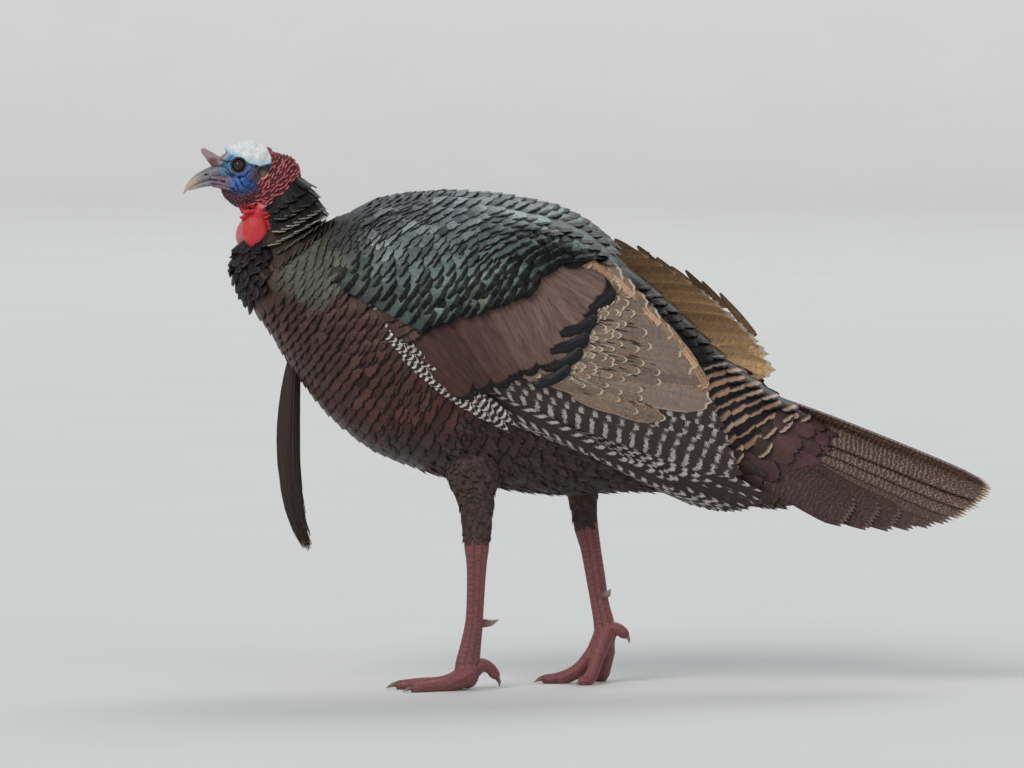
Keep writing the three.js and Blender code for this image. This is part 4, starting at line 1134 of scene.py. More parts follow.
# Each vane: rows along, columns across, half-widths from root to tip, how far its tip is rounded, how frayed.
VANE_FORMS = {
    "broad": (6, 4, (0.35, 0.72, 0.93, 1.0, 1.0, 0.96, 0.78), 0.11, 0.0),
    "full": (6, 6, (0.35, 0.75, 0.95, 1.0, 1.0, 0.97, 0.84), 0.07, 0.012),
    "great": (9, 6, (0.5, 0.75, 0.9, 0.97, 1.0, 1.0, 1.0, 0.98, 0.92, 0.70), 0.09, 0.0),
    "hackle": (5, 4, (0.4, 0.8, 1.0, 0.98, 0.86, 0.5), 0.16, 0.0),
    "loose": (5, 8, (0.3, 0.7, 0.92, 1.0, 0.98, 0.80), 0.14, 0.035),
    "scale": (7, 6, (0.4, 0.7, 0.9, 1.0, 1.0, 0.97, 0.86, 0.52), 0.12, 0.0),
    "wisp": (4, 2, (0.8, 1.0, 0.9, 0.6, 0.12), 0.0, 0.0),
    "bristle": (8, 2, (0.8, 1.0, 1.0, 1.0, 1.0, 0.95, 0.8, 0.5, 0.1), 0.0, 0.0),
    "tail": (16, 18, (0.30, 0.5, 0.68, 0.80, 0.88, 0.94, 0.98, 1.0, 1.0, 1.0, 1.0, 1.0, 1.0, 0.99, 0.97, 0.93, 0.80),
             0.03, 0.011),
    "quill": (16, 6, (0.30, 0.5, 0.68, 0.82, 0.9, 0.95, 1.0, 1.0, 1.0, 1.0, 1.0, 0.99, 0.98, 0.96, 0.92, 0.85, 0.62),
              0.045, 0.008),
}
FORM = {name: i for i, name in enumerate(sorted(VANE_FORMS))}


def vane_mesh(name):
    """One flat, closed vane: x across from -1 to 1, y along from 0 to 1, slightly crowned."""
    rows, cols, halves, tip, fray = VANE_FORMS[name]
    at, vane = [], []
    for i in range(rows + 1):
        v = i / rows
        for j in range(cols + 1):
            s = 2 * j / cols - 1
            ragged = fray * v**6 * (1 if j % 2 else -1) * (0.6 + 0.8 * ((j * 7 + 3) % 5) / 4)
            at.append((s * halves[i], v - tip * s * s * v**3 + ragged, 1 - s * s))
            vane.append(((s + 1) / 2, v, 0))
    w = cols + 1
    top = np.arange(len(at)).reshape(rows + 1, w)
    faces = [(k, k + 1, k + w + 1, k + w) for k in top[:-1, :-1].ravel().tolist()]
    if cols > 5 and rows > 8:  # long feathers have a full grid below too
        below = top.copy()
        for here in top[1:-1, 1:-1].ravel():
            below.flat[here] = len(at)
            at.append((*at[here][:2], 0.0))
            vane.append(vane[here])
        faces += np.stack([below[:-1, :-1], below[1:, :-1], below[1:, 1:], below[:-1, 1:]], -1).reshape(-1, 4).tolist()
    else:
        for i in range(rows):
            under = [i * w, (i + 1) * w]
            under += [rows * w + j for j in range(1, cols)] if i == rows - 1 else []
            under += [(i + 1) * w + cols, i * w + cols]
            under += [j for j in range(cols - 1, 0, -1)] if i == 0 else []
            faces.append(under)
    me = bpy.data.meshes.new("vane_" + name)
    me.from_pydata(at, [], faces)
    store(me, "at", at)
    store(me, "vane", vane)
    rim = [set(zip(line[:-1], line[1:])) for line in (top[0], top[-1], top[:, 0], top[:, -1])]
    rim = set().union(*rim)
    sharp = [tuple(sorted(edge.vertices)) in rim for edge in me.edges]
    me.attributes.new("sharp_edge", "BOOLEAN", "EDGE").data.foreach_set("value", sharp)
    return bpy.data.objects.new("vane_%d_%s" % (FORM[name], name), me)


def frame_at(surface, t, a):
    """A place on a surface(t, angle), its two slopes there and its outward direction."""
    dt, da = 0.02, 0.01
    along = (surface(t + dt, a) - surface(t - dt, a)) / (2 * dt)
    round_ = (surface(t, a + da) - surface(t, a - da)) / (2 * da)
    return surface(t, a), along, round_, unit(np.cross(along, round_))


def walk(surface, t, a, phi, length, steps=4):
    """A path over a surface from (t, a): phi is the way to go, 0 along the body, 90 degrees down the side."""
    track = [(t, a)]
    for _ in range(steps):
        _, along, round_, _ = frame_at(surface, t, a)
        go = unit(along) * np.cos(phi)[:, None] + unit(round_) * (np.sin(phi) * np.sign(a + 1e-9))[:, None]
        go = unit(go) * (length / steps)[:, None]
        aa, bb, ab = np.sum(along**2, 1), np.sum(round_**2, 1), np.sum(along * round_, 1)
        ga, gb = np.sum(go * along, 1), np.sum(go * round_, 1)
        scale = np.maximum(aa * bb - ab * ab, 1e-6)
        t, a = t + (ga * bb - gb * ab) / scale, a + (gb * aa - ga * ab) / scale
        track.append((t, a))
    return track


def body_map(t, a):
    """Where a place on the body falls on its own unwrapped sheet."""
    return beside(0.02 + 0.46 * t / LAST, 0.02 + 0.96 * (a / (2 * pi) + 0.5))


def wing_map(side, x, z):
    return beside(0.52 + 0.44 * (x + 270) / 520, 0.03 + 0.44 * (z - 180) / 360 + 0.48 * (side == "right"))


class Coat:
    """Feathers of one tract, as guides: where each starts, bows and ends, how it lies and how it is marked."""

    SAMPLES = 60  # places read along a curve to measure it
    BUILT_FROM = ("root", "bow", "tip", "side0", "side1", "out0", "out1", "size", "form", "toss", "at", "bake")

    def __init__(self, seed, side="left"):
        self.rng = np.random.default_rng(seed)
        self.side = side
        self.edging = (0.46, 0.26, 0.14)  # colour of trimmed edges
        self.parts = []

    def add(self, root, mid, tip, side0, side1, out0, out1, half, tint, rim, marks, bake, form="broad", thick=0.7,
            curl=1.5, trim=(0, 0, 0.8)):
        n = len(root)
        length = np.linalg.norm(mid - root, axis=1) + np.linalg.norm(tip - mid, axis=1)
        half = np.broadcast_to(half, n)
        each = {"root": root, "bow": 2 * mid - (root + tip) / 2, "tip": tip, "side0": side0, "side1": side1,
                "out0": out0, "out1": out1, "size": beside(half, thick, curl) * MM,
                "span": beside(length, half, self.rng.random(n)), "bake": np.column_stack([bake, np.zeros(n)])}
        for key, value in (("marks", marks), ("trim", trim), ("tint", tint), ("rim", rim), ("edging", self.edging)):
            each[key] = np.broadcast_to(value, (n, 3))
        each["form"] = np.broadcast_to(FORM[form] if isinstance(form, str) else form, n)
        self.parts.append(each)

    def uneven(self, n, share, columns=1):
        """Numbers round 1, to make each feather a little lighter or darker than the next."""
        return 1 + share * self.rng.normal(size=(n, columns))

    def shades(self, colour, share, fleck=0.0):
        """Feathers of one colour, each a little lighter, darker or warmer than the next."""
        def tint(p):
            light, warm = self.uneven(len(p), share), self.uneven(len(p), 0.3 * share, 3)
            return np.clip(colour * np.clip(light, 0.4, 1.8) * warm + fleck * self.rng.random((len(p), 1)), 0, 1)

        return tint

    def rows(self, t_range, turns, row, gap, ragged=0.18, surface=coat_surface, sides=2):
        """Staggered roots over a patch, row apart along it and gap apart across it; turns are half turns."""
        t0, t1 = t_range
        a0, a1 = turns[0] * pi, turns[1] * pi
        n = self.SAMPLES
        steps, sweep, flat = np.linspace(t0, t1, n), np.linspace(a0, a1, n), np.ones(n)
        run = run_of(surface(steps, 0.5 * (a0 + a1) * flat))
        ts, angles = [], []
        for i, t in enumerate(np.interp(np.linspace(0, run[-1], max(2, int(run[-1] / row) + 1)), run, steps)):
            reach = run_of(surface(t * flat, sweep))
            n = max(1, int(reach[-1] / gap))
            spots = (np.arange(n) + (0.25 if i % 2 else 0.75) + self.rng.uniform(-ragged, ragged, n)) / n
            angles.append(np.interp(spots * reach[-1], reach, sweep))
            ts.append(t + self.rng.uniform(-ragged, ragged, n) * row / max(run[-1], 1) * (t1 - t0))
        t, a = np.concatenate(ts * sides), np.concatenate(angles)
        a = np.concatenate([a, -a]) if sides == 2 else a
        return t, a, len(t)

    def plant(self, t, a, phi, length, half, deep, lift, form="broad", tint=None, rim=(0, 0, 0), marks=(0, 10, 0),
              curl=1.5, thick=0.7, drape=None, mapping=body_map, keep=None, trim=(0, 0, 0.8), surface=coat_surface):
        """Lays feathers on a surface: roots deep inside its coat, tips standing lift over it."""
        n = len(t)
        phi, length, half, deep, lift = (np.broadcast_to(v, n) for v in (phi, length, half, deep, lift))
        spots, outs = [], []
        for place in walk(surface, t, a, phi, length)[::2]:
            here, _, _, out = frame_at(surface, *place)
            here, out = drape(here, out) if drape else (here, out)
            spots.append(here)
            outs.append(out)
        root = spots[0] - outs[0] * deep[:, None]
        mid = spots[1] + outs[1] * (0.35 * lift - 0.3 * deep)[:, None]
        tip = spots[2] + outs[2] * lift[:, None]
        side0, side1 = unit(np.cross(mid - root, outs[0])), unit(np.cross(tip - mid, outs[2]))
        out0, out1 = unit(np.cross(side0, mid - root)), unit(np.cross(side1, tip - mid))
        looks = [np.broadcast_to(v(spots[2]) if callable(v) else v, (n, 3)) for v in (tint, rim, marks)]
        pick = slice(None) if keep is None else keep(spots[0], spots[2])
        each = (root, mid, tip, side0, side1, out0, out1, half, *looks, mapping(t, a))
        self.add(*(v[pick] for v in each), form, thick, curl, trim)

    def fold(self, root, tip, half, off, form, tint, rim, marks, curl=1.5, thick=0.7, bow=0.0, trim=(0, 0, 0)):
        """Lays feathers on a folded wing from side-view roots to tips; off gives how far each end stands out."""
        ahead = tip - root
        cross = unit(beside(-ahead[:, 1], ahead[:, 0]))
        mid = (root + tip) / 2 + cross * np.broadcast_to(bow, len(root))[:, None]
        offs = off[0], (np.asarray(off[0]) + off[1]) / 2, off[1]
        spots = [on_wing(self.side, *q.T, o) for q, o in zip((root, mid, tip), offs)]
        legs = spots[1] - spots[0], spots[2] - spots[1]
        across, outs = [], []
        for q, leg in zip((root, tip), legs):
            wide = unit(on_wing(self.side, *(q + 3 * cross).T, 0.0) - on_wing(self.side, *(q - 3 * cross).T, 0.0))
            out = unit(np.cross(wide, leg))
            outs.append(np.where((out[:, 1] * SIDES[self.side] > 0)[:, None], out, -out))
            across.append(unit(np.cross(leg, outs[-1])))  # so that faces point outwards
        self.add(*spots, *across, *outs, half, tint, rim, marks, wing_map(self.side, *root.T), form, thick, curl, trim)

    def grow(self, name, finish, nodes=(), fullness=1.0, ruffle=0.8):
        """Makes the feathers a piece of their own."""
        me = bpy.data.meshes.new(name)
        me.vertices.add(sum(len(part["root"]) for part in self.parts))
        kinds = {"form": "INT", "tint": "FLOAT_COLOR", "rim": "FLOAT_COLOR", "edging": "FLOAT_COLOR"}
        for key in self.parts[0]:
            value = np.concatenate([part[key] for part in self.parts])
            store(me, key, (value + SHIFT) * MM if key in ("root", "bow", "tip") else value, kinds.get(key))
        piece = show(name, me)
        vanes = bpy.data.collections.new("vanes")
        for form in FORM:
            vanes.objects.link(vane_mesh(form))
        modifier = piece.modifiers.new("plumage", "NODES")
        modifier.node_group = plumage_tree()
        given = {"Vanes": vanes, "Finish": finish, "Fullness": fullness, "Ruffle": ruffle * MM, "Bake Patch": 0.003}
        for item in modifier.node_group.interface.items_tree:
            if item.in_out == "INPUT" and item.name in given:
                modifier[item.identifier] = given[item.name]
        settle(piece)
        for key in Coat.BUILT_FROM:
            if key in piece.data.attributes:
                piece.data.attributes.remove(piece.data.attributes[key])
        for vane in list(vanes.objects):
            bpy.data.meshes.remove(vane.data)
        bpy.data.collections.remove(vanes)
        hand_in(piece, nodes)


def plume_finish(name, gloss=0.0, roughness=0.5, barb=1.0, wave=0.0, pale_share=0.5, lining=(0.02, 0.014, 0.012),
                 slant=0.25, shaft_gap=0.0, silky=False, ragged=3.5):
    """Barbs either side of a shaft, an end band with a dark hem, bars and trimmed edges, measured on each feather."""
    f = Finish(name, Metallic=gloss, Roughness=roughness, Specular_IOR_Level=0.3)
    vane = f.split(f.stored("vane", "Vector"))
    marks = f.split(f.stored("marks", "Vector"))
    span = f.split(f.stored("span", "Vector"))
    trim = f.split(f.stored("trim", "Vector"))
    s = f.scaled(vane["X"], 2.0, -1.0)
    side = f.calc("ABSOLUTE", s)
    from_tip = f.times(f.minus(1.0, vane["Y"]), span["X"])
    across = f.times(s, span["Y"])
    off = f.calc("ABSOLUTE", across)
    own = f.times(span["Z"], 91.0)
    uneven = f.noise(f.pack(f.times(across, 0.22), f.times(from_tip, 0.12), own), 1.0, 3.0, 0.6)
    uneven = f.minus(uneven, 0.5)
    lean = f.plus(from_tip, f.times(off, 0.9))
    grain = f.pack(f.times(lean, 1.1), f.times(off, 0.12), own)
    if silky:
        grain = f.pack(f.times(across, 0.30), f.times(from_tip, 0.04), own)
    strand = f.noise(grain, 1.0, 2.0, 0.7)
    ends = f.plus(from_tip, f.times(uneven, ragged))
    ends = f.plus(ends, f.times(f.minus(strand, 0.5), 0.57 * ragged))
    band = f.ease(f.times(marks["X"], 0.75), f.scaled(marks["X"], 1.2, 0.05), ends, 1.0, 0.0)
    turn = f.scaled(uneven, 5.0 + wave, f.scaled(off, slant, from_tip))
    turn = f.calc("DIVIDE", f.scaled(span["Z"], 9.0, turn), marks["Y"])
    swing = f.calc("SINE", f.times(turn, 6.2832))
    crumbs = f.noise(f.pack(f.times(across, 0.35), f.times(from_tip, 0.9), own), 1.0, 2.0)
    if wave:
        swing = f.plus(swing, f.scaled(crumbs, 3.0, -1.5))
    level = cos(pi * pale_share)
    bars = f.times(f.ease(level - 0.16, level + 0.16, swing), marks["Z"])
    if shaft_gap:
        bars = f.times(bars, f.ease(shaft_gap - 0.15, shaft_gap + 0.15, side))
    colour = f.mix(bars, f.stored("tint"), f.stored("rim"))
    mottle = f.mix(f.ease(0.42, 0.6, crumbs), f.stored("edging"), (0.10, 0.055, 0.03))
    edges = f.plus(f.times(f.ease(0.25, 0.55, s), trim["Y"]),
                   f.times(f.ease(-0.55, -0.25, s, 1.0, 0.0), trim["X"]))
    colour = f.mix(f.times(edges, f.ease(-0.3, 0.2, uneven, 0.6, 1.0)), colour, mottle)
    shade = f.ease(0.25, 0.75, strand, 1.0 - 0.38 * barb, 1.0 + 0.30 * barb)
    colour = f.shaded(colour, shade)
    colour = f.mix(band, colour, f.stored("rim"))
    shaft = f.ease(0.2, 0.7, off, 0.4, 0.0)
    colour = f.mix(shaft, colour, (0.07, 0.045, 0.035))
    colour = f.mix(f.ease(0.84, 1.0, side, 0.0, 0.45), colour, lining)
    hem = f.ease(f.times(trim["Z"], 0.8), f.scaled(trim["Z"], 1.2, 0.02),
                 f.scaled(uneven, 0.34 * ragged, from_tip), 1.0, 0.0)
    colour = f.mix(hem, colour, (0.008, 0.006, 0.006))
    f.bump(strand, 0.0004, 0.8)
    return f.done(Base_Color=colour)


# ------------------------------------------------------------------ tracts of the coat
WING_TOP = [(-236, 463), (-186, 490), (-129, 508), (-71, 534), (-19, 548), (60, 520)]


def over_wing(margin):
    """Moves places out over the folded wing that lies under them, and leaves those by the spine alone."""
    def drape(p, out):
        p, out = p.copy(), out.copy()
        for side, sign in SIDES.items():
            back, up, _ = WING_POSE[side]
            mine = p[:, 1] * sign > 0.5
            x, y, z = p[mine].T
            y = np.abs(y)
            hold = smooth(-285, -225, x - back) * smooth(0, 35, on(BACK, x) - z)
            hold = hold * (1 - smooth(-35, 45, z - up - on(WING_TOP, x - back)))
            cover = wing_over(side, x, z) + margin
            p[mine, 1] = sign * (y + hold * np.maximum(cover - y, 0))
            dx = (wing_over(side, x + 2, z) - wing_over(side, x - 2, z)) / 4
            dz = (wing_over(side, x, z + 2) - wing_over(side, x, z - 2)) / 4
            shell = unit(beside(-dx, sign, -dz))
            out[mine] = unit(blend(out[mine], shell, hold * (cover > y)))
        return p, out

    return drape


def off_wattles(p, spare):
    """Where places in side view are clear of the two wattles."""
    free = np.ones(len(p), bool)
    wide, tall = WATTLE_HALF[0] + spare, WATTLE_HALF[2] + spare
    for x, _, z in WATTLES.values():
        near_by = np.hypot((p[:, 0] - x) / wide, (p[:, 2] - z) / tall) < 1
        free &= ~(near_by & (np.abs(p[:, 1]) < 40) & (p[:, 0] < x + wide))
    return free


def clear(root, tip):
    """Which feathers of the neck keep off the wattles."""
    return off_wattles(tip, 7.0) & off_wattles((root + tip) / 2, 6.0) & off_wattles(root, 4.0)


def open_air(root, tip):
    """Where feathers of the neck and breast are not wholly under the cape."""
    return (tip[:, 0] < -268) | (tip[:, 2] < on(CAPE_BORDER, tip[:, 0]) + 14)


def build_neck(look):
    coat = Coat(21)
    rng = coat.rng
    olive, silver = colour_of(look.hackle), colour_of(look.mantle)
    ink = np.array((0.007, 0.006, 0.007))
    # the collar: black shelves with a thin pale lip, partly the feathers' pale tips and partly painted highlight along
    # the shelves' edges, and black curls down the front
    t, a, _ = coat.rows((-0.25, 2.0), (0.0, 0.60), 11.5, 6.5, 0.0)
    t, a = t[(t < 1.5) | (np.abs(a) > 0.6)], a[(t < 1.5) | (np.abs(a) > 0.6)]
    n = len(t)

    def lip(p):
        return blend(olive * 1.7, np.array((0.34, 0.31, 0.25)), smooth(555, 535, p[:, 2]) * smooth(498, 512, p[:, 2])) \
            * coat.uneven(n, 0.2)

    def shelf(p):
        return blend(ink, olive * 0.95, smooth(522, 500, p[:, 2])) * coat.uneven(n, 0.15)

    coat.plant(t, a, rng.normal(0, 0.01, n), 28 + 0.5 * rng.random(n), 9.5, coat_depth(t) - 0.5,
               5.0 - 1.8 * smooth(1.0, 2.0, t) + 0.2 * rng.random(n), "full", shelf, lip,
               beside(np.interp(t, [0, 0.7, 1.4, 2.0], [0.8, 2.4, 3.0, 1.4]), 10, 0), 1.2, keep=clear)
    t, a, n = coat.rows((-0.2, 1.1), (0.01, 0.14), 7.0, 3.4, 0.2)
    coat.plant(t, a, rng.normal(0, 0.12, n), 26 + 8 * rng.random(n), 2.4, coat_depth(t) - 0.5,
               3.0 + 5.0 * rng.random(n), "wisp", ink, olive * 0.7, (1.2, 10, 0), 0.6)
    t, a, n = coat.rows((0.3, 3.1), (0.60, 1.0), 8.6, 8.0, 0.14)
    front = smooth(0.66, 0.84, np.abs(a) / pi)

    def fore(root, tip):
        throat = [(425, -385), (450, -368), (500, -352), (560, -352)]
        return off_wattles(tip, 2.0) & (tip[:, 0] < on(throat, tip[:, 2]))

    # grey ends on the black curls: painted highlight
    coat.plant(t, a, 0.35 * front + rng.normal(0, 0.14, n), 25 + 3 * rng.random(n), 7.5 - 1.0 * front,
               coat_depth(t) - 0.5, 3.0 + 2.6 * front + 1.6 * rng.random(n), "broad",
               coat.shades((0.012, 0.009, 0.010), 0.35), (0.115, 0.100, 0.100), (1.1, 10, 0), 3.0, keep=fore)
    # the side of the neck: smoother, brown to grey-green, in fine rows with thin dark edges
    t, a, n = coat.rows((1.45, 4.15), (0.03, 0.68), 7.5, 13, 0.08)

    def side_tint(p):
        base = blend(olive * 1.15, np.array((0.112, 0.120, 0.098)), near(p, (-300, 478), 24, 34))
        dusk = smooth(500, 545, p[:, 2]) * smooth(-330, -290, p[:, 0])
        return blend(base, (0.052, 0.056, 0.052), dusk) * coat.uneven(n, 0.10)

    def fit(root, tip):
        return clear(root, tip) & open_air(root, tip) & (root[:, 2] < 531)

    coat.plant(t, a, rng.normal(0, 0.03, n), 31, 11.0, coat_depth(t) - 1.0, 0.8 + 0.6 * rng.random(n), "full",
               side_tint, (0.030, 0.024, 0.018), (0.9, 10, 0), 1.2, keep=fit, trim=(0, 0, 0.3))
    # the first rows of the back, small and dull, lie over the front of the cape
    t, a, n = coat.rows((3.1, 5.0), (0.0, 0.40), 5.2, 12, 0.06)

    def dull(p):
        base = blend((0.046, 0.050, 0.046), silver * 0.62, smooth(-292, -222, p[:, 0]))
        return base * coat.uneven(n, 0.14)

    def ahead_of_cape(root, tip):
        return (root[:, 0] > -330) & ((tip[:, 2] > 532) | (tip[:, 0] < on([(440, -275), (532, -238)], tip[:, 2])))

    coat.plant(t, a, on(CAPE_FALL[:5] + [(0.4, 0.2)], np.abs(a) / pi) + rng.normal(0, 0.03, n),
               26 + 3 * rng.random(n), 10.0, coat_depth(t) * 0.5 - 2.0, 1.6 + 0.8 * rng.random(n), "full", dull,
               (0.010, 0.011, 0.010), (1.5, 10, 0), 1.6, keep=ahead_of_cape)
    coat.grow("neck_feathers", plume_finish("neck_plume", 0.25, 0.42, 1.3), (), look.fullness, 0.5)


def build_breast(look):
    coat = Coat(22)
    rng = coat.rng
    bronze, belly = colour_of(look.bronze), colour_of(look.belly)

    def tint(p):
        copper = near(p, (-190, 290), 50, 80) * (0.25 + 0.45 * rng.random(n))
        moss = near(p, (-175, 300), 60, 60) * smooth(0.6, 0.8, rng.random(n))
        base = blend(bronze, bronze * (1.45, 0.80, 0.62), copper)
        base = blend(base, (0.060, 0.050, 0.036), 0.45 * moss)
        base = blend(base, colour_of(look.hackle) * 0.9, smooth(420, 470, p[:, 2]))
        return blend(base, belly, 1 - smooth(262, 320, p[:, 2])) * coat.uneven(n, 0.18)

    for span, turns, row, length, half in (
            ((3.0, 5.2), (0.66, 0.99), 9.0, 34, 11.5), ((4.1, 6.2), (0.26, 0.68), 8.6, 36, 14.5),
            ((5.1, 7.0), (0.62, 0.99), look.breast_row, 40, 14.0),
            ((6.1, 10.4), (0.40, 0.99), look.breast_row + 2.5, 46, 18.0)):
        t, a, n = coat.rows(span, turns, row, half * 1.25, 0.035)
        coat.plant(t, a, rng.normal(0, 0.02, n) - 0.1 * smooth(8, 10, t), length + 1.5 * rng.random(n), half,
                   coat_depth(t), 1.3 + 0.7 * rng.random(n), "full", tint, (0.005, 0.004, 0.005), (2.0, 12, 0), 2.0,
                   keep=open_air, trim=(0, 0, 1.2))
    coat.grow("breast_feathers", plume_finish("breast_plume", 0.3, 0.40, 1.0, ragged=1.8), (),
              look.fullness, 0.7)


def build_belly(look):
    coat = Coat(23)
    rng = coat.rng
    dark = colour_of(look.belly)
    t, a, n = coat.rows((7.4, 13.4), (0.66, 0.99), 8.5, 8.2)
    coat.plant(t, a, rng.normal(0, 0.13, n), 38 + 14 * rng.random(n), 6.0, coat_depth(t), 1.6 + 2.4 * rng.random(n),
               "loose", coat.shades(dark * 1.2, 0.15), dark * 1.5, (2.0, 12, 0))
    t, a, n = coat.rows((12.6, 15.0), (0.74, 0.99), 16, 17)
    coat.plant(t, a, rng.normal(0, 0.08, n), 62, 13, coat_depth(t), 3, "broad",
               coat.shades((0.06, 0.034, 0.032), 0.2), (0.14, 0.07, 0.05), (3.0, 14, 0.3), 2.0)
    coat.grow("belly_feathers", plume_finish("belly_plume", roughness=0.7, barb=1.3), (),
              look.fullness, 1.5)


def slanted(t, a, lag):
    """Rows that fall back by lag sections from spine to belly, and the way their feathers then point."""
    t = t - lag * np.abs(a) / pi
    _, along, round_, _ = frame_at(coat_surface, t, a)
    fall = lag / pi * np.linalg.norm(along, axis=1)
    return t, np.arctan2(fall, np.linalg.norm(round_, axis=1))


def build_rump(look):
    coat = Coat(24)
    rng = coat.rng
    t, a, n = coat.rows((9.6, 13.5), (0.02, 0.50), 12.0, 17, 0.0)
    late = smooth(10.9, 12.1, t)
    t, phi = slanted(t, a, 2.6)

    def rim(p):
        copper = blend((0.40, 0.23, 0.145), (0.46, 0.36, 0.25), 0.6 * rng.random(n) ** 2)
        return blend((0.16, 0.17, 0.18), copper, late) * (0.75 + 0.45 * rng.random((n, 1)))

    middle = smooth(10.0, 10.4, t) * (1 - smooth(10.9, 11.3, t))
    band = (4.8 + 3.2 * late) * (1 - 0.9 * middle) * (0.72 + 0.5 * rng.random(n))
    coat.plant(t, a, phi + rng.normal(0, 0.015, n), 44, 15.5, coat_depth(t),
               3.0 * (1 - smooth(0.1, 0.5, np.abs(a))) - 1.0 + 0.6 * rng.random(n), "full",
               coat.shades((0.009, 0.008, 0.009), 0.3), rim, beside(band, 12, 0), 2.5,
               trim=beside(0, 0, 3.4 - 0.3 * late))
    coat.grow("rump_feathers", plume_finish("rump_plume", 0.3, 0.36, ragged=2.4), (),
              look.fullness, 0.5)
    coat = Coat(25)
    rng = coat.rng
    for t0, row, length, colour, edge, marks, dark in (
            (13.75, 2, 44, (0.05, 0.03, 0.025), (0.46, 0.33, 0.23), (6.0, 8.0, 0.0), 2.4),
            (14.0, 3, 56, (0.100, 0.046, 0.046), (0.085, 0.038, 0.038), (2.0, 9.0, 0.0), 1.6),
            (14.3, 4, 62, (0.110, 0.050, 0.052), (0.09, 0.04, 0.042), (2.0, 9.0, 0.0), 1.8),
            (14.7, 5, 72, (0.095, 0.042, 0.045), (0.085, 0.038, 0.04), (2.0, 9.0, 0.0), 1.4),
            (15.0, 6, 86, (0.080, 0.036, 0.040), (0.07, 0.033, 0.036), (2.0, 9.0, 0.0), 1.4)):
        n = 19 + row % 2
        a = (np.arange(n) - (n - 1) / 2) / n * 1.62 * pi + rng.normal(0, 0.03, n)
        t, phi = slanted(t0 + rng.normal(0, 0.08, n), a, 2.6 - 0.4 * (row - 2))
        coat.plant(t, a, 0.8 * phi + rng.normal(0, 0.06, n), length + rng.normal(0, 6, n), 12.5, coat_depth(t),
                   2.2 + 1.6 * rng.random(n), "loose" if row > 2 else "full", coat.shades(colour, 0.17), edge, marks,
                   2.4, trim=(0, 0, dark))
    coat.grow("tail_covert_feathers", plume_finish("tail_covert_plume", 0.3, 0.4, wave=2.0),
              ["tail_coverts"], look.fullness, 1.0)


def build_thighs(look):
    for side, sign in SIDES.items():
        coat = Coat(26 + (side == "right"))
        rng = coat.rng
        rows = np.array(LEGS[side]["thigh"], float)
        limb, last = limb_surface(rows), len(rows) - 1

        def surface(t, a):
            return limb(np.asarray(t) / last, -np.asarray(a))

        t, a, n = coat.rows((0.0, last - 0.75), (-1, 0.98), 8.0, 6.5, surface=surface, sides=1)

        def sheet(t, a):
            return beside(0.52 + 0.2 * t / last, 0.02 + 0.4 * (a / (2 * pi) + 0.5) + 0.5 * (sign > 0))

        coat.plant(t, a, rng.normal(0, 0.12, n), np.interp(t, [1, last], [32, 20]) + 8 * rng.random(n), 5.4,
                   np.interp(t, [0, 2, last], [7.0, 5.0, 2.0]), 0.5 + 0.9 * rng.random(n), "loose",
                   coat.shades((0.075, 0.046, 0.042), 0.12), (0.098, 0.064, 0.057), (1.5, 10, 0), 1.0, 0.6,
                   mapping=sheet, surface=surface)
        coat.grow("thigh_feathers_" + side, plume_finish("thigh_plume_" + side, roughness=0.75, barb=1.2),
                  (), look.fullness, 0.8)


CAPE_BORDER = [(-330, 575), (-310, 520), (-290, 470), (-262, 435), (-240, 418), (-217, 412), (-133, 430),
               (-74, 452), (-29, 482), (5, 496), (60, 480), (110, 455)]
CAPE_END = [(400, 20), (500, 40), (520, 56), (560, 40)]
CAPE_FALL = [(0.0, 0.0), (0.03, 0.15), (0.08, 0.75), (0.16, 0.70), (0.26, 0.42), (0.36, 0.22), (0.5, 0.15)]


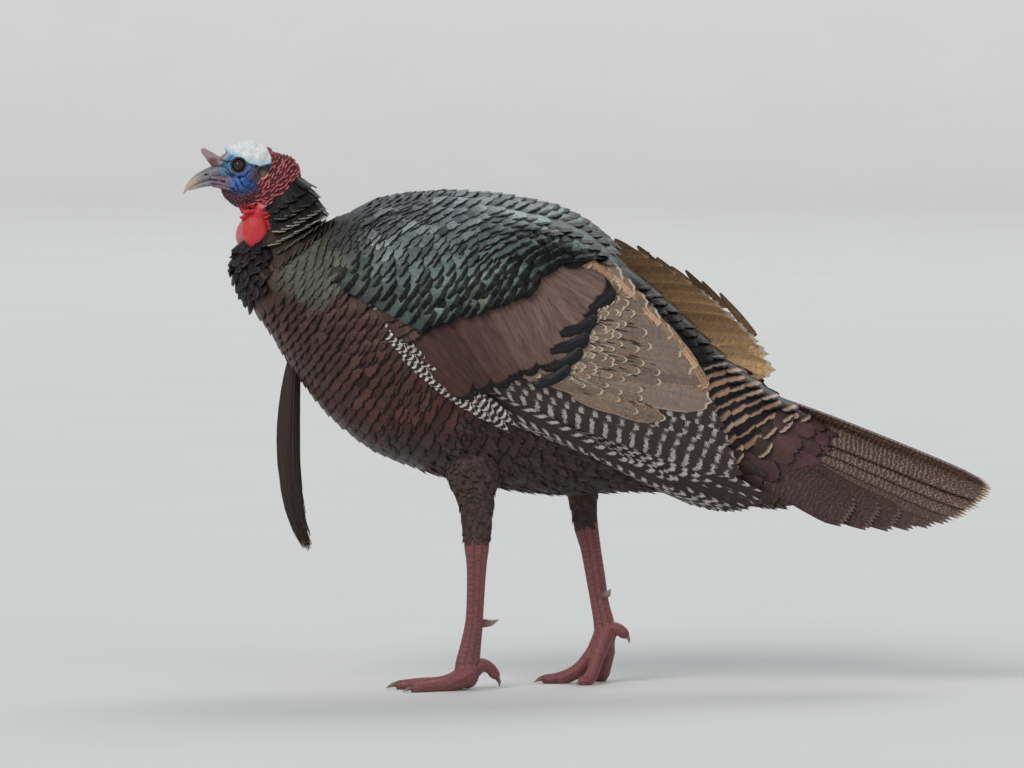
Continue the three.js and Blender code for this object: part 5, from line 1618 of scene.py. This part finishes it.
def build_cape(look):
    coat = Coat(28)
    rng = coat.rng
    drape = over_wing(10.5)
    silver = colour_of(look.mantle)

    def keep(root, tip):
        inside = (tip[:, 2] > on(CAPE_BORDER, tip[:, 0]) - 3) & (tip[:, 0] < on(CAPE_END, tip[:, 2]))
        return inside & (root[:, 0] > -326)

    def tint(p):
        # paler towards the top of the cape: partly the mantle's own silver and partly painted sheen of the sky on the
        # upward-facing plates
        high = smooth(20, 125, p[:, 2] - on(CAPE_BORDER, p[:, 0]))
        base = blend(silver * (0.40, 0.50, 0.46), silver * (1.22, 1.24, 1.28), high)
        lead = 1 - smooth(-285, -190, p[:, 0])
        base = blend(base, (0.052, 0.056, 0.046), 0.95 * lead)
        # a few feathers teal, most of them low down: partly their own iridescent colour and partly painted glint
        teal = rng.random(len(p)) ** 3 * (1 - 0.6 * high)
        base = blend(base, silver * (0.42, 0.66, 0.62), 0.55 * teal)
        olive = (1 - high) * smooth(0.6, 1, rng.random(len(p)))
        base = blend(base, (0.13, 0.12, 0.075), 0.4 * olive)
        return base * np.clip(coat.uneven(len(p), 0.28), 0.4, 1.6)

    def marks(p):
        low = 1 - smooth(10, 95, p[:, 2] - on(CAPE_BORDER, p[:, 0]))
        band = 1.6 + 5.2 * low + 2.4 * smooth(-120, -20, p[:, 0])
        return beside(band * (0.8 + 0.4 * rng.random(len(p))), 12, 0)

    dark = (0.006, 0.007, 0.007)
    for span, turns, row, gap, half in (((3.3, 10.3), (0.012, 0.30), 6.6, 20, 18.0),
                                        ((3.6, 10.0), (0.28, 0.50), 8.6, 18, 17.0)):
        t, a, n = coat.rows(span, turns, row, gap, 0.05)
        coat.plant(t, a, on(CAPE_FALL, np.abs(a) / pi) + rng.normal(0, 0.025, n), 41 + 3 * rng.random(n), half,
                   coat_depth(t) * 0.5, 1.5 + 1.3 * rng.random(n), "full", tint, dark, marks, 2.6, drape=drape,
                   keep=keep, trim=(0, 0, 1.0))
    # one row of plates along the spine closes the two sides
    t, a, n = coat.rows((3.4, 10.2), (-0.02, 0.02), 8.5, 9, 0.1, sides=1)
    coat.plant(t, a * 0.4, 0, 42, 13, coat_depth(t) * 0.5, 3.0 * smooth(6.5, 9.0, t) - 0.5, "full", tint, dark,
               marks, 3.0, keep=keep, trim=(0, 0, 1.0))
    coat.grow("cape_feathers", plume_finish("cape_plume", 0.55, 0.36, 1.0, ragged=1.3), (),
              look.fullness, 0.8)


# ------------------------------------------------------------------ wings
SECONDARY_ROOTS = [(-40, 452), (-70, 400), (-105, 352)]
SECONDARY_TIPS = [(40, 482), (92, 418), (135, 350), (162, 272)]
PRIMARY_ROOTS = [(-120, 326), (-174, 352), (-226, 394)]
PRIMARY_TIPS = [(205, 222), (184, 209), (158, 206), (128, 212)]
COVERT_ROOTS = [(-217, 416), (-167, 445), (-110, 462), (-52, 489), (0, 502)]
COVERT_TIPS = [(-134, 339), (-93, 350), (-65, 364), (-28, 371), (-4, 389), (3, 414), (12, 435), (33, 460)]
TERTIAL_EDGE = [(-20, 504), (33, 473), (71, 434), (98, 406), (128, 366), (154, 325)]
LEADING_EDGE = [(-236, 420), (-214, 398), (-184, 368), (-150, 342), (-112, 322)]
LOBES = [(33, 462, 30, 42, 9.0), (12, 432, 24, 40, 8.5), (3, 412, 22, 42, 8.5), (-4, 395, 26, 42, 8.0),
         (-18, 376, 28, 40, 7.0)]  # where each ends, the way it points, its length and half its width


def far_shift(side, s):
    """How the inner feathers of the far wing end, lower at the back and longer below than the near ones."""
    return (side == "right") * beside(np.interp(s, [0, 0.35, 0.8], [-8, 0, 9]),
                                      np.interp(s, [0, 0.35, 0.8], [-20, -2, 16]))


def build_coverts(look):
    copper, brown = colour_of(look.copper), colour_of(look.bronze)
    for side in SIDES:
        coat = Coat(31 + (side == "right"), side)
        rng = coat.rng
        # small coverts over the shoulder, for the most part under the cape
        n = 15
        for row in range(4):
            s = (np.arange(n) + 0.5 + 0.5 * (row % 2)) / n
            tips = spline(COVERT_ROOTS, s) + np.array([0.4, -0.9]) * (10 * row - 8) + rng.normal(0, 1.5, (n, 2))
            s, tips = (v[s < (0.55 if side == "left" else 0.25)] for v in (s, tips))
            coat.fold(tips + np.array([-0.44, 0.90]) * 44, tips, 15.0, (1.0 + 0.3 * row, 7.5 + 0.3 * row), "full",
                      blend(copper * 0.6, brown * 1.1, (1 - s) * 0.6) * coat.uneven(len(s), 0.2),
                      (0.008, 0.006, 0.006), (2.2, 12, 0), 2.0)
        # the great coverts: long and smooth, fanned, with a broad black end
        n = 14
        s = (np.arange(n) + 0.2) / (n - 0.6)
        tips = spline(COVERT_TIPS, s) + rng.normal(0, 0.8, (n, 2))
        slope = np.radians(np.interp(s, [0, 0.15, 0.45, 0.7, 1.0], [-44, -56, -66, -52, -24]))
        ahead = beside(np.cos(slope), np.sin(slope))
        roots = tips - ahead * (np.interp(s, [0, 0.3, 1], [108, 112, 92]) + rng.normal(0, 2, n))[:, None]
        coat.fold(roots, tips, 18.0, (2.5 + 3.0 * s, 8.0 + 3.8 * s), "great",
                  blend(brown * 0.9, copper * 1.15, smooth(0.05, 0.55, s)) * coat.uneven(n, 0.10),
                  (0.009, 0.007, 0.007), beside(np.interp(s, [0, 0.5, 0.7, 1], [8.0, 11.0, 13.0, 10.0]), 14, 0), 3.0)
        # five black lobes that curl up past the end of the panel
        for x, z, turn, long, wide in LOBES:
            tips = np.array([[x, z], [x - 5, z - 4]])
            ahead = np.array([cos(radians(turn)), sin(radians(turn))])
            coat.fold(tips - ahead * long, tips, (wide, wide * 0.9), (9.4, 13.0), "great", (0.013, 0.014, 0.018),
                      (0.030, 0.031, 0.036), (1.2, 10, 0), 3.0, bow=(-4.0, -3.0))
        # narrow barred feathers along the leading edge
        tips = spline(LEADING_EDGE, np.linspace(0, 1, 9)) + (26, -22)
        for shift, off in (((0, 0), (-3.0, 4.6)), ((5, 8), (-2.5, 5.4))):
            coat.fold(tips - np.array([0.78, -0.62]) * 62 + shift, tips + shift, 7.5, off, "hackle",
                      colour_of(look.quill_dark), colour_of(look.quill_pale) * 1.2, (0.0, 8.2, 1.0), 1.0, 0.8)
        coat.grow("wing_coverts_" + side,
                  plume_finish("covert_plume_" + side, 0.3, 0.42, 0.9, pale_share=0.42, silky=True),
                  ["wing_" + side], look.fullness, 0.5)


def inner_tips(s, share):
    """Ends of the inner wing's rows: share of the way from the coverts' ends to the long feathers' ends."""
    share = np.broadcast_to(share, len(s))[:, None]
    return spline(COVERT_TIPS, 0.28 + 0.68 * (1 - s)) * (1 - share) + spline(SECONDARY_TIPS, s) * share


def build_flight(look):
    dark, pale = colour_of(look.quill_dark), colour_of(look.quill_pale)
    grey, cream = np.array((0.225, 0.168, 0.135)), np.array((0.58, 0.47, 0.34))
    for side in SIDES:
        coat = Coat(33 + (side == "right"), side)
        first = coat
        s = np.linspace(1, 0, 10)
        coat.fold(spline(PRIMARY_ROOTS, s), spline(PRIMARY_TIPS, s), 12.5, (-3.4 - 1.0 * s, -1.2 - 1.9 * s), "quill",
                  dark * first.uneven(10, 0.1), pale, (0.0, 16.0, 1.0), 1.0, 1.0, 5.0)
        coat.grow("primary_feathers_" + side,
                  plume_finish("primary_plume_" + side, 0.0, 0.5, 0.6, wave=1.0, pale_share=0.40, slant=1.5,
                               lining=(0.02, 0.014, 0.012), shaft_gap=0.45),
                  ["primaries_" + side], 1.0, 0.5)
        coat = Coat(43 + (side == "right"), side)
        s = np.linspace(1, 0.56, 8)
        tips = spline(SECONDARY_TIPS, s) + np.outer(smooth(0.6, 1.0, s), (14, -22))
        coat.fold(spline(SECONDARY_ROOTS, s), tips, 19.0, (1.0 - 0.8 * s, 3.6 - 1.8 * s), "quill",
                  dark * 1.4 * first.uneven(8, 0.1), pale * 0.9, (0.0, 17.0, 1.0), 2.0, 1.0, 5.0)
        coat.grow("secondary_feathers_" + side,
                  plume_finish("secondary_plume_" + side, 0.0, 0.5, 0.6, wave=1.8, pale_share=0.30, slant=0.45,
                               lining=(0.05, 0.038, 0.03), shaft_gap=0.12),
                  ["secondaries_" + side], 1.0, 0.5)
        # the innermost ones are plain grey-brown with cream fringes and a mottled inner edge
        coat = Coat(53 + (side == "right"), side)
        coat.edging = look.chestnut
        rng = first.rng
        s = np.linspace(0.74, 0, 9)
        trim = beside(1.0, 0.35 * (1 - smooth(0.5, 0.74, s)), 0)
        coat.fold(spline(SECONDARY_ROOTS, s), spline(SECONDARY_TIPS, s) + far_shift(side, s), 22.0,
                  (4.0 - 1.5 * s, 7.4 - 2.6 * s), "quill", grey * first.uneven(9, 0.10), cream, (3.0, 15.0, 0.0),
                  2.2, 1.0, 4.0, trim[:, [1, 0, 2]] if side == "right" else trim)
        s = np.linspace(0.10, 0.88, 9)
        ahead = unit(spline(TERTIAL_EDGE, s + 0.02) - spline(TERTIAL_EDGE, s - 0.02))
        tips = spline(TERTIAL_EDGE, s) + rng.normal(0, 1.0, (9, 2)) + far_shift(side, s)
        coat.fold(tips - ahead * 42, tips, 7.5, (7.4 - 3.2 * s, 9.0 - 3.2 * s), "full",
                  np.array((0.50, 0.31, 0.17)) * first.uneven(9, 0.2), cream, (1.6, 15.0, 0.0), 1.5, 0.9,
                  trim=(0.9, 0.9, 0.0))
        if side == "right":
            # seen over the back from the other side, these are mottled gold with cream ends
            s = np.linspace(0.86, 0, 11)
            tips = spline(SECONDARY_TIPS, s) + far_shift(side, s) * 1.1 + (5, 1)
            coat.fold(spline(SECONDARY_ROOTS, s), tips, 21.0, (1.5 - 1.5 * s, 4.6 - 2.6 * s), "quill",
                      np.array((0.95, 0.60, 0.31)) * first.uneven(11, 0.12), (0.86, 0.76, 0.60), (6.0, 15.0, 0.0),
                      2.2, 1.0, 4.0, (0.5, 0.5, 0.0))
        for share, n, width in ((0.68, 9, 13.5), (0.54, 11, 12.0), (0.42, 13, 11.0), (0.31, 14, 10.0),
                                (0.21, 15, 9.5), (0.12, 15, 9.0), (0.04, 15, 8.5)):
            s = np.linspace(0.92, 0.02, n) + rng.normal(0, 0.012, n)
            tips = inner_tips(s, share) + rng.normal(0, 2.5, (n, 2))
            ahead = unit(spline(SECONDARY_TIPS, s) - spline(SECONDARY_ROOTS, s))
            light = np.clip(0.55 - 0.7 * share, 0, 1) * rng.random(n)
            coat.fold(tips - ahead * 76, tips, width * (1 - 0.2 * s), (5.0 - 1.5 * s, 9.6 - 2.6 * s - 1.6 * share),
                      "scale", blend(grey * 0.95, cream * (0.85, 0.8, 0.7), light) * first.uneven(n, 0.12),
                      cream * 1.15, (2.4, 11, 0.0), 2.0, 0.8, trim=(0.6, 0.6, 0.0))
        # short dark and pale streaks between them
        for n, colour, most in ((80, (0.035, 0.024, 0.016), 0.66), (60, (0.62, 0.55, 0.43), 0.34)):
            s, share = rng.uniform(0.06, 0.95, n), rng.uniform(0, most, n)
            tips = inner_tips(s, share)
            ahead = unit(spline(SECONDARY_TIPS, s) - spline(SECONDARY_ROOTS, s) + (0, -30))
            off = 9.2 - 2.6 * s - 1.6 * share, 9.9 - 2.6 * s - 1.6 * share
            coat.fold(tips - ahead * rng.uniform(9, 15, (n, 1)), tips, 0.95, off, "wisp", colour, colour, (0, 11, 0),
                      0.2, 0.6)
        coat.grow("tertial_feathers_" + side,
                  plume_finish("tertial_plume_" + side, 0.0, 0.55, 1.0, wave=1.2, lining=(0.58, 0.47, 0.34)),
                  (), 1.0, 0.7)


# ------------------------------------------------------------------ tail and beard
TAIL_ROOTS = [(146, 3, 349), (124, 26, 306)]
TAIL_TIPS = [(463, 6, 224), (422, 40, 180), (298, 64, 204)]
TAIL_ROLL = (38.0, 74.0)
TAIL_LAYERS = 6.0


def build_tail(look):
    coat = Coat(35)
    brown = colour_of(look.tail_brown)
    n = 9
    for sign in SIDES.values():
        s = (np.arange(n) + (0.12 if sign > 0 else 0.0)) / (n - 0.8)
        root = np.array(TAIL_ROOTS[0]) + np.outer(s, np.subtract(TAIL_ROOTS[1], TAIL_ROOTS[0]))
        tip = beside((1 - s) ** 2, 2 * s * (1 - s), s * s) @ np.array(TAIL_TIPS, float)
        along = unit(tip - root)
        level = unit(np.array([0.0, 1.0, 0.0]) - along * along[:, 1:2])
        roll = np.radians(TAIL_ROLL[0] + (TAIL_ROLL[1] - TAIL_ROLL[0]) * s)[:, None]
        across = level * np.cos(roll) - np.cross(along, level) * np.sin(roll)
        out = unit(np.cross(along, across))
        root, tip = root - out * (s * TAIL_LAYERS)[:, None], tip - out * (s * TAIL_LAYERS)[:, None]
        root, mid, tip, out = (v * (1, sign, 1) for v in (root, (root + tip) / 2 + out * 2.5, tip, out))
        out = np.where(out[:, 2:] < -0.2, -out, out)
        wide = unit(np.cross(tip - root, out))
        tint = blend(brown * 1.12, brown * (0.42, 0.36, 0.42), s) * coat.uneven(n, 0.1)
        ends = blend(colour_of(look.tail_tip), np.array((0.15, 0.10, 0.085)), smooth(0.15, 0.45, s))
        coat.add(root, mid, tip, wide, wide, out, out, 25.0, tint, ends, (4.0, 5.6, 0.45),
                 beside(0.55 + 0.3 * s, 0.05 if sign < 0 else 0.5), "tail", 1.3, 2.0)
    coat.grow("tail_quills", plume_finish("tail_plume", 0.1, 0.5, 1.0, wave=7.0, pale_share=0.28),
              ["tail"], 1.0, 0.4)


BEARD_LINE = [(-334, 0, 384), (-342, 0, 312), (-340, 0, 244), (-330, 0, 196), (-320, 0, 158)]
BEARD_LOCKS = [(-0.75, 0.3), (0.1, -0.4), (0.8, 0.1)]


def build_beard(look):
    coat = Coat(36)
    rng = coat.rng
    n = look.bristles
    turn, ring = rng.uniform(0, 2 * pi, n), np.sqrt(rng.random(n))
    across = beside(np.cos(turn) * ring, np.sin(turn) * ring)
    reach = 1.0 - 0.46 * rng.random(n) ** 0.9 * (0.35 + 0.65 * ring)
    lock = np.array(BEARD_LOCKS)[rng.integers(0, 3, n)]

    def strand(s, wide, drawn=0.0):
        place = spline(BEARD_LINE, s)
        spot = blend(across, lock + 0.22 * across, drawn * np.ones(n)) * np.reshape(wide, (-1, 1))
        place[:, :2] += spot * (1, 0.8)
        return place

    ends = on([(0.5, 11.5), (0.7, 8.5), (0.85, 6.0), (1.0, 3.2)], reach)
    root, mid, tip = strand(np.zeros(n), 6.0), strand(0.5 * reach, 12.5), strand(reach, ends, smooth(0.62, 0.86, reach))
    out = unit(beside(across[:, 0] + 0.05, across[:, 1] + 0.02, 0.05))
    ahead = unit(tip - root)
    out = unit(out - ahead * np.sum(out * ahead, 1)[:, None])
    side = np.cross(ahead, out)
    tint = np.array((0.030, 0.018, 0.018)) * (1 + 0.5 * rng.random((n, 1)))
    coat.add(root, mid, tip, side, side, out, out, 0.95, tint, (0.16, 0.09, 0.06), (6.0, 10, 0),
             0.9 + 0.05 * across, "bristle", 0.9, 0.3)
    coat.grow("beard_bristles", plume_finish("beard_bristle", 0.0, 0.45, 0.4), ["beard"], 1.0, 2.5)


# ------------------------------------------------------------------ the stage
VIEW_CENTRE = np.array([-84.525, 0.0, 348.45])  # the middle of the view, in millimetres of the drawing
VIEW_WIDTH = 1.1776  # metres seen across the picture at the turkey
SENSOR = 36.0  # millimetres
FLOOR_BEND = 3.0  # radius, in metres, of the curve from the floor up into its wall
FLOOR_TURNS = 72
LAMPS = {  # where each stands, its share of the main lamp's strength, its spread in degrees and its colour
    "key": ((-2.2, -3.4, 3.3), 1.0, 30, (1.0, 0.985, 0.96)),
    "fill": ((3.2, -3.2, 1.5), 0.34, 40, (0.96, 0.98, 1.0)),
    "back": ((1.2, 2.6, 3.0), 0.60, 34, (1.0, 1.0, 1.0)),
}


def build_stage(look):
    # a round floor that curves up into a low wall, beyond the camera on every side
    bend = [(16 + FLOOR_BEND * sin(s), FLOOR_BEND * (1 - cos(s))) for s in np.linspace(0, 1, 17) * pi / 2]
    rings, turns = [(2.0, 0), (8.0, 0), *bend, (19, 5.0)], FLOOR_TURNS
    points = [(0, 0, 0)] + [(r * cos(2 * pi * k / turns), r * sin(2 * pi * k / turns), z)
                            for r, z in rings for k in range(turns)]
    faces = [(0, 1 + k, 1 + (k + 1) % turns) for k in range(turns)]
    for a in range(1, 1 + (len(rings) - 1) * turns, turns):
        faces += [(a + k, a + turns + k, a + turns + (k + 1) % turns, a + (k + 1) % turns) for k in range(turns)]
    me = bpy.data.meshes.new("studio_floor")
    me.from_pydata(points, [], faces)
    me.polygons.foreach_set("use_smooth", np.ones(len(me.polygons), bool))
    floor = show("studio_floor", me)
    f = Finish("studio_paper", Roughness=0.9, Specular_IOR_Level=0.2)
    grain = f.ease(0.3, 0.7, f.noise(f.place(), 3.0), 0.985, 1.0)
    me.materials.append(f.done(Base_Color=f.shaded(look.floor, grain)))
    for name, (place, share, spread, colour) in LAMPS.items():
        light = bpy.data.lights.new(name, "SUN")
        light.energy, light.angle, light.color = look.power * share, radians(spread), colour
        lamp = show(name, light)
        lamp.location = place
        lamp.rotation_euler = (-Vector(place)).to_track_quat("-Z", "Y").to_euler()
    world = bpy.data.worlds.new("studio")
    world.use_nodes = True
    sky = world.node_tree.nodes["Background"].inputs
    sky["Color"].default_value, sky["Strength"].default_value = (0.86, 0.89, 0.93, 1), 0.42
    bpy.context.scene.world = world
    out = Vector((0, -cos(look.height), sin(look.height)))
    view = bpy.data.cameras.new("camera")
    view.sensor_width, view.lens, view.clip_end = SENSOR, SENSOR * look.distance / VIEW_WIDTH, 100.0
    camera = show("camera", view)
    camera.location = Vector(((VIEW_CENTRE + SHIFT) * MM).tolist()) + out * look.distance
    camera.rotation_euler = out.to_track_quat("Z", "Y").to_euler()
    bpy.context.scene.camera = camera
    bpy.context.scene.view_settings.view_transform = "Standard"


# ------------------------------------------------------------------ the add-on
def tone(name, about, value):
    return FloatVectorProperty(name=name, description=about, default=value, subtype="COLOR", size=3, min=0, max=1)


class TurkeySkin(bpy.types.PropertyGroup):
    neck_red: tone("Neck red", "Colour of the lumps down the back of the neck", (0.52, 0.095, 0.105))
    wattle_red: tone("Wattle red", "Colour of the two wattles at the throat", (0.68, 0.042, 0.05))
    leg_pink: tone("Leg pink", "Colour of the scales of shanks and toes", (0.26, 0.082, 0.080))


class TurkeyPlumage(bpy.types.PropertyGroup):
    bronze: tone("Bronze", "Maroon-brown of breast and flanks", (0.080, 0.038, 0.032))
    mantle: tone("Mantle", "Silvery grey-green of the upper back", (0.22, 0.245, 0.25))
    belly: tone("Belly", "Dark brown of belly and vent", (0.045, 0.028, 0.028))
    rump: tone("Rump", "Near black of the rump", (0.030, 0.022, 0.020))
    hackle: tone("Hackle", "Dark olive of the lower neck", (0.075, 0.052, 0.038))
    copper: tone("Copper", "Coppery pink of the wing coverts", (0.17, 0.105, 0.085))
    chestnut: tone("Chestnut", "Warm inner edge of the wing", (0.46, 0.26, 0.16))
    quill_dark: tone("Quill brown", "Dark ground of flight feathers", (0.030, 0.020, 0.018))
    quill_pale: tone("Quill white", "Pale bars of flight feathers", (0.52, 0.47, 0.44))
    tail_brown: tone("Tail brown", "Ground of the tail", (0.11, 0.062, 0.050))
    tail_tip: tone("Tail tip", "Pale ends of tail and its coverts", (0.62, 0.47, 0.34))
    fullness: FloatProperty(name="Fullness", description="Width of every small feather against its drawn width",
                            default=1.0, min=0.7, max=1.3)
    breast_row: FloatProperty(name="Breast row", description="Length of each breast feather that shows, in mm",
                              default=10.5, min=8, max=25)
    bristles: IntProperty(name="Beard bristles", description="How many bristles the beard has", default=520,
                          min=100, max=1200)


class TurkeyHorn(bpy.types.PropertyGroup):
    bill_base: tone("Bill base", "Grey-brown of the bill by the face", (0.27, 0.25, 0.26))
    bill_tip: tone("Bill tip", "Worn horn colour of the bill's point", (0.58, 0.46, 0.36))
    eye_brown: tone("Eye", "Brown of the iris", (0.035, 0.014, 0.008))
    claw_root: tone("Claw root", "Claw colour by the toe", (0.09, 0.055, 0.045))
    claw_tip: tone("Claw tip", "Claw colour at the point", (0.30, 0.22, 0.17))
    spur_root: tone("Spur root", "Spur colour by the shank", (0.20, 0.085, 0.075))
    spur_tip: tone("Spur tip", "Spur colour at the point", (0.42, 0.31, 0.24))


class TurkeyStage(bpy.types.PropertyGroup):
    floor: tone("Floor", "Colour of the studio floor", (0.80, 0.80, 0.79))
    distance: FloatProperty(name="Camera distance", description="From the camera to the turkey", default=12.0,
                            min=2, unit="LENGTH")
    height: FloatProperty(name="Camera angle", description="How far the camera looks down",
                          default=radians(3), subtype="ANGLE")
    power: FloatProperty(name="Light strength", description="Strength of the main light", default=1.12, min=0)


class TURKEY_OT_skin(bpy.types.Operator):
    """Makes the bare skin of head, neck, body, wings and legs in one piece"""
    bl_idname = "turkey.skin"
    bl_label = "Skin"

    def execute(self, context):
        build_skin(context.scene.turkey_skin, context.scene.turkey_plumage)
        return {"FINISHED"}


class TURKEY_OT_eyes(bpy.types.Operator):
    """Makes both eyes"""
    bl_idname = "turkey.eyes"
    bl_label = "Eyes"

    def execute(self, context):
        build_eyes(context.scene.turkey_horn)
        return {"FINISHED"}


class TURKEY_OT_bill(bpy.types.Operator):
    """Makes the two halves of the bill"""
    bl_idname = "turkey.bill"
    bl_label = "Bill"

    def execute(self, context):
        build_bill(context.scene.turkey_horn)
        return {"FINISHED"}


class TURKEY_OT_claws(bpy.types.Operator):
    """Makes the claws and spurs"""
    bl_idname = "turkey.claws"
    bl_label = "Claws and spurs"

    def execute(self, context):
        build_claws(context.scene.turkey_horn)
        return {"FINISHED"}


class TURKEY_OT_neck(bpy.types.Operator):
    """Grows the hackles of the neck"""
    bl_idname = "turkey.neck"
    bl_label = "Neck feathers"

    def execute(self, context):
        build_neck(context.scene.turkey_plumage)
        return {"FINISHED"}


class TURKEY_OT_breast(bpy.types.Operator):
    """Grows the banded feathers of breast and sides"""
    bl_idname = "turkey.breast"
    bl_label = "Breast feathers"

    def execute(self, context):
        build_breast(context.scene.turkey_plumage)
        return {"FINISHED"}


class TURKEY_OT_belly(bpy.types.Operator):
    """Grows the loose feathers of belly and vent"""
    bl_idname = "turkey.belly"
    bl_label = "Belly feathers"

    def execute(self, context):
        build_belly(context.scene.turkey_plumage)
        return {"FINISHED"}


class TURKEY_OT_rump(bpy.types.Operator):
    """Grows the barred feathers of rump and tail coverts"""
    bl_idname = "turkey.rump"
    bl_label = "Rump and tail coverts"

    def execute(self, context):
        build_rump(context.scene.turkey_plumage)
        return {"FINISHED"}


class TURKEY_OT_thighs(bpy.types.Operator):
    """Grows the velvety feathers of the thighs"""
    bl_idname = "turkey.thighs"
    bl_label = "Thigh feathers"

    def execute(self, context):
        build_thighs(context.scene.turkey_plumage)
        return {"FINISHED"}


class TURKEY_OT_cape(bpy.types.Operator):
    """Grows the silvery plates of the upper back over the wings"""
    bl_idname = "turkey.cape"
    bl_label = "Cape"

    def execute(self, context):
        build_cape(context.scene.turkey_plumage)
        return {"FINISHED"}


class TURKEY_OT_coverts(bpy.types.Operator):
    """Grows the coverts of both wings"""
    bl_idname = "turkey.coverts"
    bl_label = "Wing coverts"

    def execute(self, context):
        build_coverts(context.scene.turkey_plumage)
        return {"FINISHED"}


class TURKEY_OT_flight(bpy.types.Operator):
    """Sets the long feathers of both wings"""
    bl_idname = "turkey.flight"
    bl_label = "Flight feathers"

    def execute(self, context):
        build_flight(context.scene.turkey_plumage)
        return {"FINISHED"}


class TURKEY_OT_tail(bpy.types.Operator):
    """Sets the tail feathers"""
    bl_idname = "turkey.tail"
    bl_label = "Tail"

    def execute(self, context):
        build_tail(context.scene.turkey_plumage)
        return {"FINISHED"}


class TURKEY_OT_beard(bpy.types.Operator):
    """Hangs the bristles of the beard"""
    bl_idname = "turkey.beard"
    bl_label = "Beard"

    def execute(self, context):
        build_beard(context.scene.turkey_plumage)
        return {"FINISHED"}


class TURKEY_OT_stage(bpy.types.Operator):
    """Sets the floor, the lamps and the camera"""
    bl_idname = "turkey.stage"
    bl_label = "Stage"

    def execute(self, context):
        build_stage(context.scene.turkey_stage)
        return {"FINISHED"}


SETTINGS = {"turkey_skin": TurkeySkin, "turkey_plumage": TurkeyPlumage, "turkey_horn": TurkeyHorn,
            "turkey_stage": TurkeyStage}
OPERATORS = (TURKEY_OT_skin, TURKEY_OT_eyes, TURKEY_OT_bill, TURKEY_OT_claws, TURKEY_OT_neck, TURKEY_OT_breast,
             TURKEY_OT_belly, TURKEY_OT_rump, TURKEY_OT_thighs, TURKEY_OT_cape, TURKEY_OT_coverts, TURKEY_OT_flight,
             TURKEY_OT_tail, TURKEY_OT_beard, TURKEY_OT_stage)


class TURKEY_PT_panel(bpy.types.Panel):
    """Lists the pieces and their settings"""
    bl_label = "Wild Turkey"
    bl_space_type = "VIEW_3D"
    bl_region_type = "UI"
    bl_category = "Turkey"

    def draw(self, context):
        for kind in OPERATORS:
            self.layout.operator(kind.bl_idname)
        for label, group in SETTINGS.items():
            box = self.layout.box()
            for key in group.__annotations__:
                box.prop(getattr(context.scene, label), key)


def register():
    for kind in (*SETTINGS.values(), *OPERATORS, TURKEY_PT_panel):
        bpy.utils.register_class(kind)
    for label, group in SETTINGS.items():
        setattr(bpy.types.Scene, label, PointerProperty(type=group))


def unregister():
    for label in SETTINGS:
        delattr(bpy.types.Scene, label)
    for kind in (TURKEY_PT_panel, *reversed(OPERATORS), *SETTINGS.values()):
        bpy.utils.unregister_class(kind)


def main():
    register()
    for kind in OPERATORS:
        family, name = kind.bl_idname.split(".")
        getattr(getattr(bpy.ops, family), name)()


if __name__ == "__main__":
    main()
